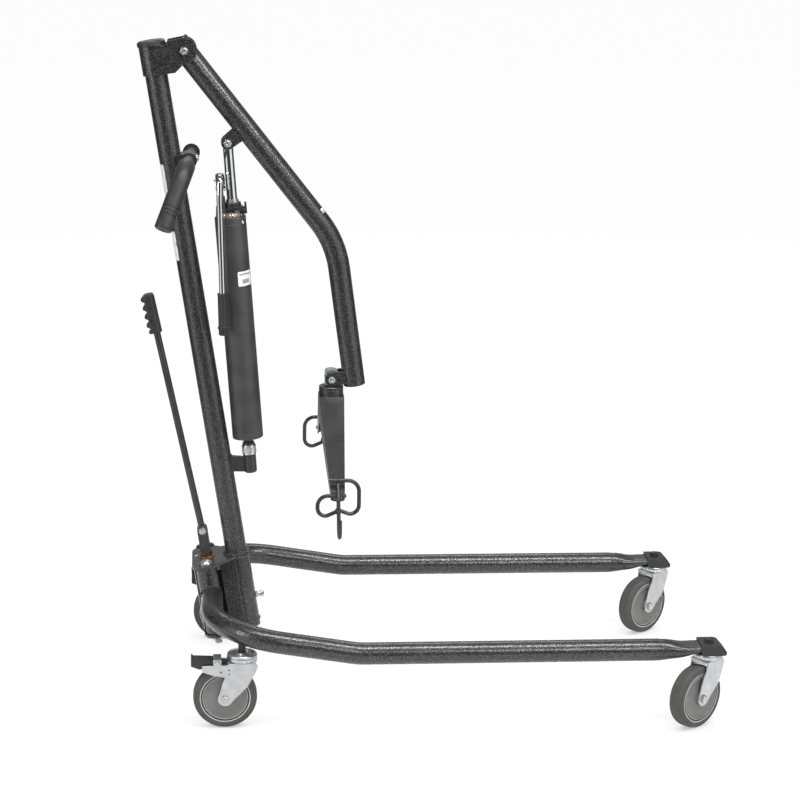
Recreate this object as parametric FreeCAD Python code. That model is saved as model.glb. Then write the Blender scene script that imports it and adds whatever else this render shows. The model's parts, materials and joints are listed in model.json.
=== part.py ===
import FreeCAD, Part
import math, os

# Mobile patient lift: a leaning mast on two splayed legs with casters, and a bent boom raised
# by a hydraulic jack and carrying a sling cradle.
# Design frame: +X forward, +Y left, +Z up; Y = 0 is the mid plane and the floor lies at -DROP.
# "Mast frame" and "jack frame" have Z along the leaning part and their origin at its foot.

os.makedirs("parts", exist_ok=True)
Vec = FreeCAD.Vector
X, Y, Z = Vec(1, 0, 0), Vec(0, 1, 0), Vec(0, 0, 1)
SIDES = (-1, 1)

# ---------------------------------------------------------------- driving dimensions (mm)
TUBE_R = 22.225                      # 1 3/4 in round tube: mast, boom and legs
TUBE_BORE = TUBE_R - 2.5             # 2.5 mm wall
DROP = 4.0                           # floor lies this far below the design zero
SHIFT = Vec(-418.0337, 15.9787, DROP)    # design frame to the output frame

WHEEL_R = 63.5                       # 5 in caster wheel
WHEEL_W = 32.0
WHEEL_Z = WHEEL_R - DROP
TRAIL = 33.5
FRONT_YAW = 36.5                     # rest direction of the front casters, degrees

LEG_Y = 281.0                        # half spacing of the straight legs
LEG_Z = 151.5                        # leg centre height at the front
BEND_X = 265.0                       # where the leg levels out
REAR_STEM = (35.0, 257.0)            # caster swivel axes: x, half track
FRONT_STEM = (969.0, LEG_Y)
STUD_Z = 151.2                       # underside of the caster studs

MAST_LEAN = 9.04                     # backward lean, degrees
MAST_FOOT = Vec(72.1, 0, 0)
MAST_TOP = 1335.0                    # along the mast axis
PIVOT_X, PIVOT_Y = -65.0, 47.0       # leg pivots, mast frame
SOCKET_R = 25.2
PLATE = 6                            # leg bracket plates, mast frame
LOW_PLATE_Z = 124
TOP_PLATE_Z = 274

BOOM_X, BOOM_Z = 61.85, 1317.35      # boom pivot, mast frame
BOOM_UP_DEG = 38.3                   # upper boom, from straight down
BOOM_LOW_DEG = 8.0                   # lower boom, from straight down
BOOM_UP_LEN = 487.3
BOOM_LOW_LEN = 296.0

JACK_LEAN = 4.5
JACK_BASE = Vec(55.0, 0, 485.0)      # ball seat of the jack
RAM_X = 6.7                          # ram sits forward of the cylinder axis
RAM_EYE_Z = 645.5


# ---------------------------------------------------------------- helpers
def cyl(radius, height, at=Vec(), axis=Z):
    return Part.makeCylinder(radius, height, at, axis)


def across(radius, length, x, z):
    """Cylinder along Y, centred on the mid plane."""
    return cyl(radius, length, Vec(x, -length / 2, z), Y)


def ring(outer, inner, height, at=Vec(), axis=Z):
    return cyl(outer, height, at, axis).cut(cyl(inner, height + 2, at - axis, axis))


def box(x0, x1, y0, y1, z0, z1):
    return Part.makeBox(x1 - x0, y1 - y0, z1 - z0, Vec(x0, y0, z0))


def face(points):
    return Part.Face(Part.makePolygon(points + [points[0]]))


def slab(profile, y0, y1):
    """(x, z) outline extruded from y0 to y1."""
    return face([Vec(x, y0, z) for x, z in profile]).extrude(Y * (y1 - y0))


def plan(profile, z0, z1):
    """(x, y) outline extruded from z0 to z1."""
    return face([Vec(x, y, z0) for x, y in profile]).extrude(Z * (z1 - z0))


def dome(radius, height, at, axis=Z):
    """Shallow sphere cap on a base of the given radius."""
    sphere_r = (radius * radius + height * height) / (2 * height)
    cap = Part.makeSphere(sphere_r, Vec(0, 0, height - sphere_r)).common(
        box(-sphere_r, sphere_r, -sphere_r, sphere_r, 0, height + 1))
    cap.Placement = FreeCAD.Placement(at, FreeCAD.Rotation(Z, axis))
    return cap


def hexagon(flats, height, at, axis=Z):
    corner_r = flats / math.sqrt(3)
    angles = [math.radians(60 * i) for i in range(6)]
    corners = [Vec(corner_r * math.cos(a), corner_r * math.sin(a), 0) for a in angles]
    prism = face(corners).extrude(Vec(0, 0, height))
    prism.Placement = FreeCAD.Placement(at, FreeCAD.Rotation(Z, axis))
    return prism


def fuse(*shapes):
    whole = shapes[0]
    if len(shapes) > 1:
        whole = whole.multiFuse(list(shapes[1:]))
    return whole.removeSplitter()


def stack(origin, axis, *members):
    """Coaxial (maker, radius or flats, height, start along the axis) members, fused."""
    return fuse(*[make(size, height, origin + axis * start, axis)
                  for make, size, height, start in members])


def rounded(shape, radius, pick):
    edges = [edge for edge in shape.Edges if pick(edge)]
    if not edges:
        return shape
    try:
        return shape.makeFillet(radius, edges)
    except Exception:   # the kernel can refuse a fillet; the edges then stay sharp
        return shape


def centred_near(point, reach):
    return lambda edge: edge.BoundBox.Center.distanceToPoint(point) < reach


def mirror(shape):
    return shape.mirror(Vec(), Y)


def lean(shape, degrees, at):
    """Lean backward about Y and carry the origin to `at`."""
    moved = shape.copy()
    moved.rotate(Vec(), Y, -degrees)
    moved.translate(at)
    return moved


def lean_point(x, z, degrees, at):
    """Where lean() carries the point (x, 0, z)."""
    angle = math.radians(degrees)
    return at + Vec(x * math.cos(angle) - z * math.sin(angle), 0,
                    x * math.sin(angle) + z * math.cos(angle))


def mast(shape):
    return lean(shape, MAST_LEAN, MAST_FOOT)


def jack(shape):
    return lean(shape, JACK_LEAN, JACK_BASE)


def fillet_path(points, radii):
    """Polyline with rounded corners, as a wire."""
    edges, start = [], points[0]
    for i in range(1, len(points) - 1):
        corner, radius = points[i], radii[i - 1]
        before = (corner - points[i - 1]).normalize()
        after = (points[i + 1] - corner).normalize()
        half = math.acos(max(-1.0, min(1.0, before.dot(after)))) / 2
        setback = radius * math.tan(half)
        arc_start, arc_end = corner - before * setback, corner + after * setback
        centre = corner + (after - before).normalize() * (radius / math.cos(half))
        middle = centre + (corner - centre).normalize() * radius
        if (arc_start - start).Length > 1e-6:
            edges.append(Part.makeLine(start, arc_start))
        edges.append(Part.Arc(arc_start, middle, arc_end).toShape())
        start = arc_end
    edges.append(Part.makeLine(start, points[-1]))
    return Part.Wire(edges)


def sweep(points, radii, rod_r):
    """Round rod along a polyline with rounded corners."""
    profile = Part.Wire([Part.makeCircle(rod_r, points[0], points[1] - points[0])])
    return fillet_path(points, radii).makePipeShell([profile], True, False)


def save(name, shape):
    moved = shape.copy()
    moved.translate(SHIFT)
    moved.exportStep("parts/%s.step" % name)


# ================================================================ mast and base weldment
SHIFTER_X = PIVOT_X + 3.0
TOP_FACE = TOP_PLATE_Z + PLATE
LOCK_Z = 181
LOCK_HOLE = cyl(4.0, 30, Vec(12, 0, LOCK_Z), X)


def bracket_plate(outline, lobe_r, z):
    """Plate with a round lobe and hole at each leg pivot and a hole for the socket."""
    lobes = [cyl(lobe_r, PLATE, Vec(PIVOT_X, side * PIVOT_Y, z)) for side in SIDES]
    plate = fuse(plan(outline, z, z + PLATE), *lobes).cut(cyl(SOCKET_R, 20, Vec(0, 0, z - 6)))
    for side in SIDES:
        plate = plate.cut(cyl(8.0, 20, Vec(PIVOT_X, side * PIVOT_Y, z - 6)))
    return plate


def base_bracket():
    """Two plates square to the mast, a rear plate with a pad, and two side webs."""
    top = bracket_plate(
        [(PIVOT_X - 28, -PIVOT_Y), (PIVOT_X - 28, PIVOT_Y), (PIVOT_X, PIVOT_Y + 28),
         (PIVOT_X + 12, PIVOT_Y + 25.3), (0, 26), (0, -26),
         (PIVOT_X + 12, -PIVOT_Y - 25.3), (PIVOT_X, -PIVOT_Y - 28)], 28, TOP_PLATE_Z)
    top = top.cut(cyl(9.06, 20, Vec(SHIFTER_X, 0, TOP_PLATE_Z - 6)))
    low = bracket_plate(
        [(PIVOT_X - 26, -PIVOT_Y), (PIVOT_X - 26, PIVOT_Y), (PIVOT_X, PIVOT_Y + 22),
         (0, 24), (0, -24), (PIVOT_X, -PIVOT_Y - 22)], 24, LOW_PLATE_Z)
    rear = fuse(box(-91, -87, -22, 22, LOW_PLATE_Z, TOP_FACE), box(-96.5, -91, -8, 14, 233, 257))
    webs = [box(-37.2, -2, y, y + 4, LOW_PLATE_Z + PLATE, TOP_PLATE_Z) for y in (-25, 21)]
    bracket = fuse(top, low, rear, *webs).cut(cyl(SOCKET_R, 200, Vec(0, 0, 110)))
    return bracket.cut(cyl(3.0, 20, Vec(-84, 14, 268)))


def mast_cap():
    return fuse(cyl(28, 7, Vec(0, 0, MAST_TOP)),
                Part.makeCone(28, 24.5, 3.2, Vec(0, 0, MAST_TOP + 7)),
                ring(19.7, 16.5, 22, Vec(0, 0, MAST_TOP - 22)))


save("base_bracket", mast(base_bracket()))
save("mast_socket", mast(ring(SOCKET_R, TUBE_R, 169, Vec(0, 0, 117.5)).cut(LOCK_HOLE)))
save("mast_lock_screw", mast(stack(
    Vec(0, 0, LOCK_Z), X, (cyl, 4.0, 26, 13.5), (hexagon, 12, 4.5, SOCKET_R),
    (cyl, 6.6, 6.5, SOCKET_R + 8), (dome, 6.6, 3.0, SOCKET_R + 14.5))))
save("mast_tube", mast(ring(TUBE_R, TUBE_BORE, MAST_TOP - 126, Vec(0, 0, 126)).cut(LOCK_HOLE)))
save("mast_cap", mast(mast_cap()))


def boom_bracket():
    """Plate wrapped round the mast top, with two cheeks reaching to the boom pivot."""
    height, wrap_r, nose_r = 57, 25.9, 25.0
    foot_z = MAST_TOP - height

    def nose(degrees):
        angle = math.radians(degrees)
        return Vec(BOOM_X + nose_r * math.cos(angle), 0, BOOM_Z + nose_r * math.sin(angle))

    def lines(points):
        return [Part.makeLine(a, b) for a, b in zip(points, points[1:])]

    edges = lines([Vec(0, 0, foot_z), Vec(38, 0, 1277.5), nose(-98)])
    edges.append(Part.Arc(nose(-98), nose(-3), nose(92)).toShape())
    edges += lines([nose(92), Vec(33, 0, 1341), Vec(29.5, 0, MAST_TOP),
                    Vec(0, 0, MAST_TOP), Vec(0, 0, foot_z)])
    outline = Part.Face(Part.Wire(edges))
    cheeks = []
    for y in (-wrap_r, 22.9):
        cheek = outline.copy()
        cheek.translate(Vec(0, y, 0))
        cheeks.append(cheek.extrude(Vec(0, 3, 0)))
    wrap = ring(wrap_r, TUBE_R, height, Vec(0, 0, foot_z)).common(
        box(-30, 0, -30, 30, 1270, 1340))
    sleeve = ring(23.4, TUBE_R, height, Vec(0, 0, foot_z))
    return fuse(wrap, sleeve, *cheeks).cut(across(6.0, 80, BOOM_X, BOOM_Z))


save("boom_bracket", mast(boom_bracket()))
save("boom_pivot_bolt", mast(stack(
    Vec(BOOM_X, 0, BOOM_Z), Y, (cyl, 6.0, 58, -29), (cyl, 9.5, 1.5, -27.4),
    (hexagon, 15, 6, -33.4), (cyl, 9.5, 1.5, 25.9), (hexagon, 15, 8, 27.4),
    (dome, 6.6, 4, 35.4))))

# ================================================================ push handle
HANDLE = Vec(-65.0, 0, 1095.0)       # middle of the bar, design frame
HANDLE_YAW = -2.5                    # the bar sits slightly askew in its saddle
BAR_R = 11.5
GRIP_R = 17.5
BAR_PATH = [HANDLE, HANDLE + Vec(-1, -136, -1), Vec(-105.5, -186, 989)]   # right half


def handle_half(radius):
    return sweep(BAR_PATH, [48], radius)


def handle_rod(radius):
    half = handle_half(radius)
    return fuse(half, mirror(half))


def yawed(shape):
    turned = shape.copy()
    turned.rotate(Vec(HANDLE.x, 0, 0), Z, HANDLE_YAW)
    return turned


def handle_grips():
    """Grips with three grooves and a hole in the end."""
    tip = BAR_PATH[2]
    outward = (tip - BAR_PATH[1]).normalize()
    end = rounded(cyl(GRIP_R, 6, tip, outward), 4.0, centred_near(tip + outward * 6, 1.0))
    grip = fuse(handle_half(GRIP_R), end).cut(handle_half(BAR_R))
    grip = grip.cut(box(-200, 0, -106, 106, 900, 1300))
    for back in (25, 33, 41):
        grip = grip.cut(ring(19, 16.2, 2.2, tip - outward * back, outward))
    grip = grip.cut(cyl(3.6, 5, tip + outward * 4.2, outward))
    return Part.makeCompound([grip, mirror(grip)])


bar_solid = handle_rod(BAR_R)
save("handle_bar", yawed(bar_solid.cut(handle_rod(8.9))))
save("handle_grips", yawed(handle_grips()))

# bar centre in the mast frame
bar_at = lean_point(HANDLE.x - MAST_FOOT.x, HANDLE.z, -MAST_LEAN, Vec())


def handle_clamp():
    """Saddle block holding the bar in front of the mast."""
    block = fuse(box(12, bar_at.x, -24, 24, bar_at.z - 14, bar_at.z + 14),
                 across(15.5, 48, bar_at.x, bar_at.z))
    block = mast(block).cut(mast(cyl(TUBE_R, 200, Vec(0, 0, bar_at.z - 100))))
    return block.cut(yawed(bar_solid))


clamp = handle_clamp()
save("handle_clamp", clamp)
save("handle_screws", Part.makeCompound(
    [mast(stack(bar_at + Y * side * 15, X, (cyl, 5.6, 2.4, 14.3), (dome, 5.2, 2.6, 16.7)))
     for side in SIDES]).cut(clamp))


# ================================================================ jack seat, leg pivot bolts
def jack_seat():
    """Cup under the jack on an arm from the mast."""
    cup = jack(fuse(cyl(13.25, 33.5, Vec(0, 0, -34)),
                    Part.makeCone(11.0, 13.25, 2.5, Vec(0, 0, -36.5))))
    arm = slab([(10, 484), (48, 481), (48, 450), (10, 451)], -5, 5)
    seat = fuse(cup, arm).cut(mast(cyl(TUBE_R, 300, Vec(0, 0, 350))))
    return seat.cut(jack(cyl(9.06, 12, Vec(0, 0, -9.6))))


save("jack_seat", jack_seat())
save("leg_pivot_bolts", mast(Part.makeCompound(
    [stack(Vec(PIVOT_X, side * PIVOT_Y, 0), Z, (cyl, 8.0, 166, 114.5),
           (cyl, 14, 2.2, TOP_FACE), (dome, 13, 6.5, TOP_FACE + 2.2),
           (cyl, 12.5, 2, LOW_PLATE_Z - 2), (hexagon, 19, 9, LOW_PLATE_Z - 11))
     for side in SIDES])))

# ================================================================ legs (right one modelled)
FLAT_W, FLAT_H, FLAT_RISE = 26.5, 6.2, 6.3   # crushed end: half width, half height, centre rise
FLAT_ROUND = 3.6                             # roundness exponent
FLAT_BOTTOM = LEG_Z + FLAT_RISE - FLAT_H
FLAT_TOP = LEG_Z + FLAT_RISE + FLAT_H
# front end stations: x, half width, rise of centre, half height, roundness exponent
CRUSH = [
    (858, TUBE_R - 0.6, 0, TUBE_R - 0.6, 2.0),
    (872, TUBE_R - 0.5, 0, TUBE_R - 0.7, 2.0),
    (892, 23.6, 0.8, 18.6, 2.2),
    (912, 25.2, 0.6, 14.0, 2.7),
    (930, 26.2, 3.2, 9.8, 3.3),
    (943, FLAT_W, 5.4, 7.3, 3.6),
    (950, FLAT_W, FLAT_RISE, FLAT_H, FLAT_ROUND),
]
LEG_PATH = [Vec(-22.5, -PIVOT_Y, 198), Vec(-26, -LEG_Y, 199.0),
            Vec(BEND_X, -LEG_Y, LEG_Z + 0.5), Vec(868, -LEG_Y, LEG_Z)]
LEG_BENDS = [140, 150]
FRONT_AXIS = Vec(FRONT_STEM[0], -FRONT_STEM[1], 0)
REAR_AXIS = Vec(REAR_STEM[0], -REAR_STEM[1], 0)


def section(x, half_w, rise, half_h, roundness):
    """Closed smooth superellipse across the right leg."""
    def power(value):
        return math.copysign(abs(value) ** (2.0 / roundness), value)

    angles = [2 * math.pi * i / 24 for i in range(24)]
    curve = Part.BSplineCurve()
    curve.interpolate(Points=[Vec(x, -LEG_Y + half_w * power(math.cos(angle)),
                                  LEG_Z + rise + half_h * power(math.sin(angle)))
                              for angle in angles], PeriodicFlag=True)
    return Part.Wire([curve.toShape()])


def leg_tube(outer):
    """Bent tube with a pivot sleeve at the rear and a crushed flat at the front."""
    start = LEG_PATH[0] + (LEG_PATH[1] - LEG_PATH[0]).normalize() * 24
    inner = sweep([start] + LEG_PATH[1:], LEG_BENDS, TUBE_BORE)
    crush = Part.makeLoft([section(*station) for station in CRUSH], True, False)
    flat = Part.Face(section(*CRUSH[-1])).extrude(Vec(40, 0, 0))
    sleeve = mast(cyl(21.0, 142, Vec(PIVOT_X, -PIVOT_Y, 131)))
    bore = mast(cyl(8.06, 160, Vec(PIVOT_X, -PIVOT_Y, 122)))
    horn = mast(box(-64.3, -53, -34, -2, 253, 262))
    leg = fuse(outer, sleeve, crush, flat, horn)
    leg = leg.cut(inner).cut(bore)
    leg = leg.cut(mast(ring(17.4, 8.0, 110, Vec(PIVOT_X, -PIVOT_Y, 147))))
    leg = leg.cut(cyl(6.0, 60, FRONT_AXIS + Z * 130))
    return leg.cut(cyl(6.0, 51.5, REAR_AXIS + Z * 140))


def leg_end_cap():
    """Cap over the crushed end, open below and relieved for the caster race."""
    cap_top, half_w = FLAT_TOP + 2.6, 29.5
    cap = slab([(950.1, 147.2), (1002, 147.2), (1002, 152.5), (989, cap_top), (950.1, cap_top)],
               -LEG_Y - half_w, -LEG_Y + half_w)
    cap = rounded(cap, 7.0, lambda edge: edge.BoundBox.ZLength > 4
                  and edge.BoundBox.YLength < 0.1 and edge.BoundBox.Center.x > 985)
    pocket = section(940, FLAT_W + 0.04, FLAT_RISE, FLAT_H + 0.04, FLAT_ROUND)
    cap = cap.cut(Part.Face(pocket).extrude(Vec(50.05, 0, 0)))
    for cutter in (cyl(6.0, 60, FRONT_AXIS + Z * 140),
                   Part.makeCone(30.8, 17.6, 5.5, FRONT_AXIS + Z * 145.9),
                   cyl(30.8, 6, FRONT_AXIS + Z * 139.9),
                   cyl(17.6, 0.6, FRONT_AXIS + Z * 151.0),
                   box(930, 984, -LEG_Y - 22, -LEG_Y + 22, 140, FLAT_BOTTOM + 0.2)):
        cap = cap.cut(cutter)
    return cap


def leg_caster_bolts(outer):
    front = stack(FRONT_AXIS, Z, (cyl, 6.0, FLAT_TOP + 4 - STUD_Z, STUD_Z),
                  (cyl, 10, 2.5, FLAT_TOP + 2.6), (cyl, 8.2, 4.5, FLAT_TOP + 5.1),
                  (dome, 8.2, 2.5, FLAT_TOP + 9.6))
    collar = cyl(7.5, 24, REAR_AXIS + Z * STUD_Z).cut(outer)
    return Part.makeCompound([front, fuse(collar, cyl(6.0, 40, REAR_AXIS + Z * STUD_Z))])


leg_outer = sweep(LEG_PATH, LEG_BENDS, TUBE_R)
for piece, shape in (("tube", leg_tube(leg_outer)), ("end_cap", leg_end_cap()),
                     ("caster_bolts", leg_caster_bolts(leg_outer))):
    save("leg_right_" + piece, shape)
    save("leg_left_" + piece, mirror(shape))

# ================================================================ leg shifter
SHIFTER_PIN_Z = 339.0                # lever pin, mast frame
LEVER_LEAN = 12.1
LEVER_R = 7.0


def shifter_post():
    """Post through the top plate with an offset pin below and a clevis above."""
    pin_z = SHIFTER_PIN_Z
    post = fuse(cyl(9.0, 22, Vec(SHIFTER_X, 0, 264)), cyl(14, 6, Vec(SHIFTER_X, 0, 264)),
                cyl(5.0, 16, Vec(SHIFTER_X - 7.8, 0, 252.5)),
                cyl(13, 9, Vec(SHIFTER_X, 0, TOP_FACE + 3.2)),
                cyl(9.0, 6, Vec(SHIFTER_X, 0, TOP_FACE)))
    clevis = fuse(box(SHIFTER_X - 10.5, SHIFTER_X + 10.5, -12.5, 12.5, 291, pin_z),
                  across(10.5, 25, SHIFTER_X, pin_z))
    clevis = clevis.cut(box(SHIFTER_X - 20, SHIFTER_X + 20, -8.5, 8.5, 300, pin_z + 30))
    return fuse(post, clevis.cut(across(4.0, 40, SHIFTER_X, pin_z)))


def lever(shape):
    """Lever frame: origin at the lever pin, Z along the lever."""
    return lean(shape, LEVER_LEAN, lean_point(SHIFTER_X, SHIFTER_PIN_Z, MAST_LEAN, MAST_FOOT))


def shifter_grip():
    """Grip with four finger ridges on its rear side."""
    profile = [(11.0, 428), (11.0, 503), (8, 508), (-6, 508), (-12, 505)]
    for i in range(4):
        z = 502.0 - 18.0 * i
        profile += [(-17.0, z - 1.5), (-17.0, z - 4.5), (-10.5, z - 9.5), (-10.5, z - 13.0)]
    profile += [(-15.5, 431.5), (-14.0, 428)]
    grip = slab(profile, -13, 13).common(
        fuse(cyl(14.0, 100, Vec(-2.5, 0, 424)),
             slab([(-20, 424), (-2, 424), (-2, 525), (-20, 525)], -9.5, 9.5)))
    grip = rounded(grip, 2.2, lambda edge: edge.Length > 60)
    return grip.cut(cyl(LEVER_R, 70, Vec(0, 0, 416)))


save("shifter_post", mast(shifter_post()))
save("shifter_washer", mast(ring(15.5, 9.06, 3.0, Vec(SHIFTER_X, 0, TOP_FACE + 0.05))))
save("shifter_bolt", mast(stack(
    Vec(SHIFTER_X, 0, SHIFTER_PIN_Z), Y, (cyl, 4.0, 30, -14.5), (cyl, 7.5, 1.5, -14.0),
    (hexagon, 11, 5, -19), (hexagon, 11, 6, 12.5))))
save("shifter_lever", lever(fuse(cyl(LEVER_R, 480, Vec(0, 0, 6)), across(9.5, 16.4, 0, 0))
                            .cut(across(4.06, 40, 0, 0))))
save("shifter_grip", lever(shifter_grip()))


# ================================================================ boom
def downward(degrees):
    """Unit vector swung forward from straight down."""
    angle = math.radians(degrees)
    return Vec(math.sin(angle), 0, -math.cos(angle))


upper_dir, lower_dir = downward(BOOM_UP_DEG), downward(BOOM_LOW_DEG)
boom_pin = lean_point(BOOM_X, BOOM_Z, MAST_LEAN, MAST_FOOT)
boom_start = boom_pin - upper_dir * 21.5
knee = boom_pin + upper_dir * BOOM_UP_LEN
boom_end = knee + lower_dir * BOOM_LOW_LEN
jack_pin = lean_point(RAM_X, RAM_EYE_Z, JACK_LEAN, JACK_BASE)
# the hanger pin lies behind the lower boom, square off its axis
hanger = knee + lower_dir * 277.7 + Vec(lower_dir.z, 0, -lower_dir.x) * 45.4
boom_outer = sweep([boom_start, knee, boom_end], [200], TUBE_R)
LUG_Y, LUG_T = 12.6, 4.5             # inner face and thickness of the lugs


def boom_tube():
    inner = sweep([boom_start - upper_dir * 5, knee, boom_end + lower_dir * 5], [200], TUBE_BORE)
    return boom_outer.cut(inner).cut(across(9.5, 80, boom_pin.x, boom_pin.z))


def boom_end_cap():
    cap = fuse(cyl(TUBE_R, 2.5, boom_end, lower_dir),
               cyl(TUBE_BORE - 0.05, 14, boom_end - lower_dir * 14, lower_dir))
    return rounded(cap, 2.0, centred_near(boom_end + lower_dir * 2.5, 0.5))


def lug_pair(pin, start, along, pin_r, foot_half):
    """Two plates from a pin square to the boom axis, rounded at the pin."""
    foot = start + along * ((pin - start).dot(along))
    corners = [pin + along * pin_r, pin - along * pin_r,
               foot - along * foot_half, foot + along * foot_half]
    lugs = []
    for y in (LUG_Y, -LUG_Y - LUG_T):
        web = face([corner + Y * y for corner in corners]).extrude(Y * LUG_T)
        lug = fuse(web, cyl(pin_r, LUG_T, pin + Y * y, Y))
        lugs.append(lug.cut(across(5.0, 60, pin.x, pin.z)).cut(boom_outer))
    return Part.makeCompound(lugs)


save("boom_tube", boom_tube())
save("boom_pivot_bush", ring(9.5, 6.06, 45.2, boom_pin - Y * 22.6, Y))
save("boom_end_cap", boom_end_cap())
save("boom_jack_lugs", lug_pair(jack_pin, boom_pin, upper_dir, 13.0, 16.0))
save("boom_hanger_lugs", lug_pair(hanger, knee, lower_dir, 13.5, 13.5))
save("jack_bolt_ends", Part.makeCompound(
    [stack(jack_pin, Y * side, (cyl, 5.0, 6.0, LUG_Y), (cyl, 9.0, 1.4, LUG_Y + LUG_T),
           (hexagon, 15, 6, LUG_Y + 5.9)) for side in SIDES]))
save("hanger_pin", stack(
    hanger, Y, (cyl, 5.0, 40, -20), (cyl, 9.0, 1.4, -18.5), (hexagon, 14, 5.5, -24),
    (cyl, 9.0, 1.4, LUG_Y + LUG_T), (hexagon, 14, 7.0, 18.5)))

# ================================================================ hanger block and cradle
hang_x = hanger.x
block_z = hanger.z - 12.5            # underside of the block
cup_top = block_z - 1.6
arm_top = cup_top - 20
ARM_HALF_W, ARM_MID_Y = 25.6, 24     # middle of the cradle arm
TIP_HALF_W, TIP_Y = 14, 256.0        # its rounded tips
tip_z = arm_top - 132.0
HOOK_R = 4.0


def hanger_block():
    """Block on the hanger pin with a stem through the cradle and a nut below."""
    outline = (hang_x - 13, hang_x + 13)
    block = box(*outline, -12, 12, block_z, hanger.z + 20.0)
    block = block.common(fuse(across(20.0, 30, hang_x, hanger.z),
                              box(*outline, -15, 15, block_z, hanger.z)))
    block = rounded(block, 2.0, lambda edge: edge.BoundBox.ZLength > 5
                    and edge.BoundBox.YLength < 0.1 and edge.BoundBox.XLength < 0.1)
    block = fuse(block, cyl(12, 1.4, Vec(hang_x, 0, block_z - 1.4)),
                 cyl(8.0, 50, Vec(hang_x, 0, block_z - 50)))
    block = block.cut(across(5.06, 40, hang_x, hanger.z))
    return fuse(block, hexagon(24, 9, Vec(hang_x, 0, arm_top - 15.2)))


def cradle_cup():
    cup = fuse(cyl(25, 17, Vec(hang_x, 0, arm_top)),
               Part.makeCone(25, 22.5, 3.0, Vec(hang_x, 0, cup_top - 3)))
    cup = cup.cut(cyl(8.06, 60, Vec(hang_x, 0, cup_top - 40)))
    cup = cup.cut(ring(24, 15, 2.4, Vec(hang_x, 0, cup_top - 1.8)))
    return cup.cut(Part.makeTorus(25.3, 1.0, Vec(hang_x, 0, cup_top - 8)))


def arm_solid(inset, drop):
    """Arm envelope drawn in by inset and extended downward by drop."""
    mid_half, tip_half = ARM_HALF_W - inset, TIP_HALF_W - inset
    mid_low, tip_low = arm_top - 46 - drop, tip_z - 18 - drop

    def rectangle(y, half_w, z0, z1):
        corners = [(-half_w, z0), (half_w, z0), (half_w, z1), (-half_w, z1), (-half_w, z0)]
        return Part.makePolygon([Vec(hang_x + x, y, z) for x, z in corners])

    half = Part.makeLoft([rectangle(-ARM_MID_Y, mid_half, mid_low, arm_top - inset),
                          rectangle(-TIP_Y, tip_half, tip_low, tip_z - inset)], True, True)
    middle = box(hang_x - mid_half, hang_x + mid_half, -ARM_MID_Y, ARM_MID_Y,
                 mid_low, arm_top - inset)
    half = fuse(half, cyl(tip_half, 18 + drop - inset, Vec(hang_x, -TIP_Y, tip_low)))
    return fuse(middle, half, mirror(half))


def cradle_arm():
    """Channel open below, with a ring round the stem hole."""
    arm = arm_solid(0, 0).cut(arm_solid(3.0, 60))
    arm = arm.cut(cyl(8.06, 30, Vec(hang_x, 0, arm_top - 20)))
    return fuse(arm, ring(15, 8.06, 3.0, Vec(hang_x, 0, arm_top - 6.0)))


def end_hooks(end_x):
    """Tall loop, short loop, end hook and a joining rod at the right (-Y) tip."""
    def rod(points, radii):
        """Points are (x, y, z) from the cradle tip."""
        return sweep([Vec(hang_x + x, y - TIP_Y, tip_z + z) for x, y, z in points],
                     radii, HOOK_R)

    tall = rod([(-17, 6, 19), (42, 6, 19), (42, 2, -56), (0, -2, -38)], [22, 17])
    short = rod([(16, -8, -8), (-40, -8, -8), (-40, -10, -56), (-1, -12, -38)], [20, 15])
    end = rod([(0, 2, 13), (0, -20, -12), (end_x, -20, -84), (end_x, -50, -84),
               (end_x, -50, -46)], [14, 15, 15])
    return fuse(tall, short, end, cyl(5.5, 14, Vec(hang_x, -TIP_Y - 19, tip_z - 38), Y))


save("hanger_block", hanger_block())
save("cradle_cup", cradle_cup())
arm_shape = cradle_arm()
save("cradle_arm", arm_shape)
right_hooks, left_hooks = end_hooks(2.0), end_hooks(-9.0)
left_hooks.rotate(Vec(hang_x, 0, 0), Z, 180)
save("cradle_hooks", Part.makeCompound([right_hooks.cut(arm_shape), left_hooks.cut(arm_shape)]))

# ================================================================ jack (jack frame)
BALL_R = 9.0
HEAD_Z, HEAD_TOP = 498, 516
PUMP_Y, PUMP_Z = -14, 558            # pump lever pin, along X
VALVE_Z = 507.5
# pump lever rod, from the yoke down the right side of the cylinder
PUMP_PATH = [Vec(-14, -16, 581.0), Vec(-14.5, -42, 581.0), Vec(-18, -43, 545),
             Vec(-29, -44, 330)]


def jack_cylinder():
    body = rounded(cyl(31.5, 460, Vec(0, 0, 38)), 2.5,
                   lambda edge: edge.BoundBox.XLength > 60 and edge.BoundBox.ZLength < 0.1)
    body = body.cut(cyl(12.0, 470, Vec(RAM_X, 0, 46)))
    for z in (484, 52):
        body = body.cut(Part.makeTorus(32.2, 1.2, Vec(0, 0, z)))
    return body


def jack_collar():
    """Fluted collar over the ball foot."""
    collar = fuse(cyl(14.2, 20.2, Vec(0, 0, 2.7)), ring(15, 13.5, 14, Vec(0, 0, 5.5)))
    for i in range(30):
        angle = 2 * math.pi * i / 30
        at = Vec(15.15 * math.cos(angle), 15.15 * math.sin(angle), 6)
        collar = collar.cut(cyl(0.8, 13.0, at))
    return collar.cut(cyl(8.0, 40, Vec(0, 0, -5))).cut(Part.makeSphere(BALL_R))


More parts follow.
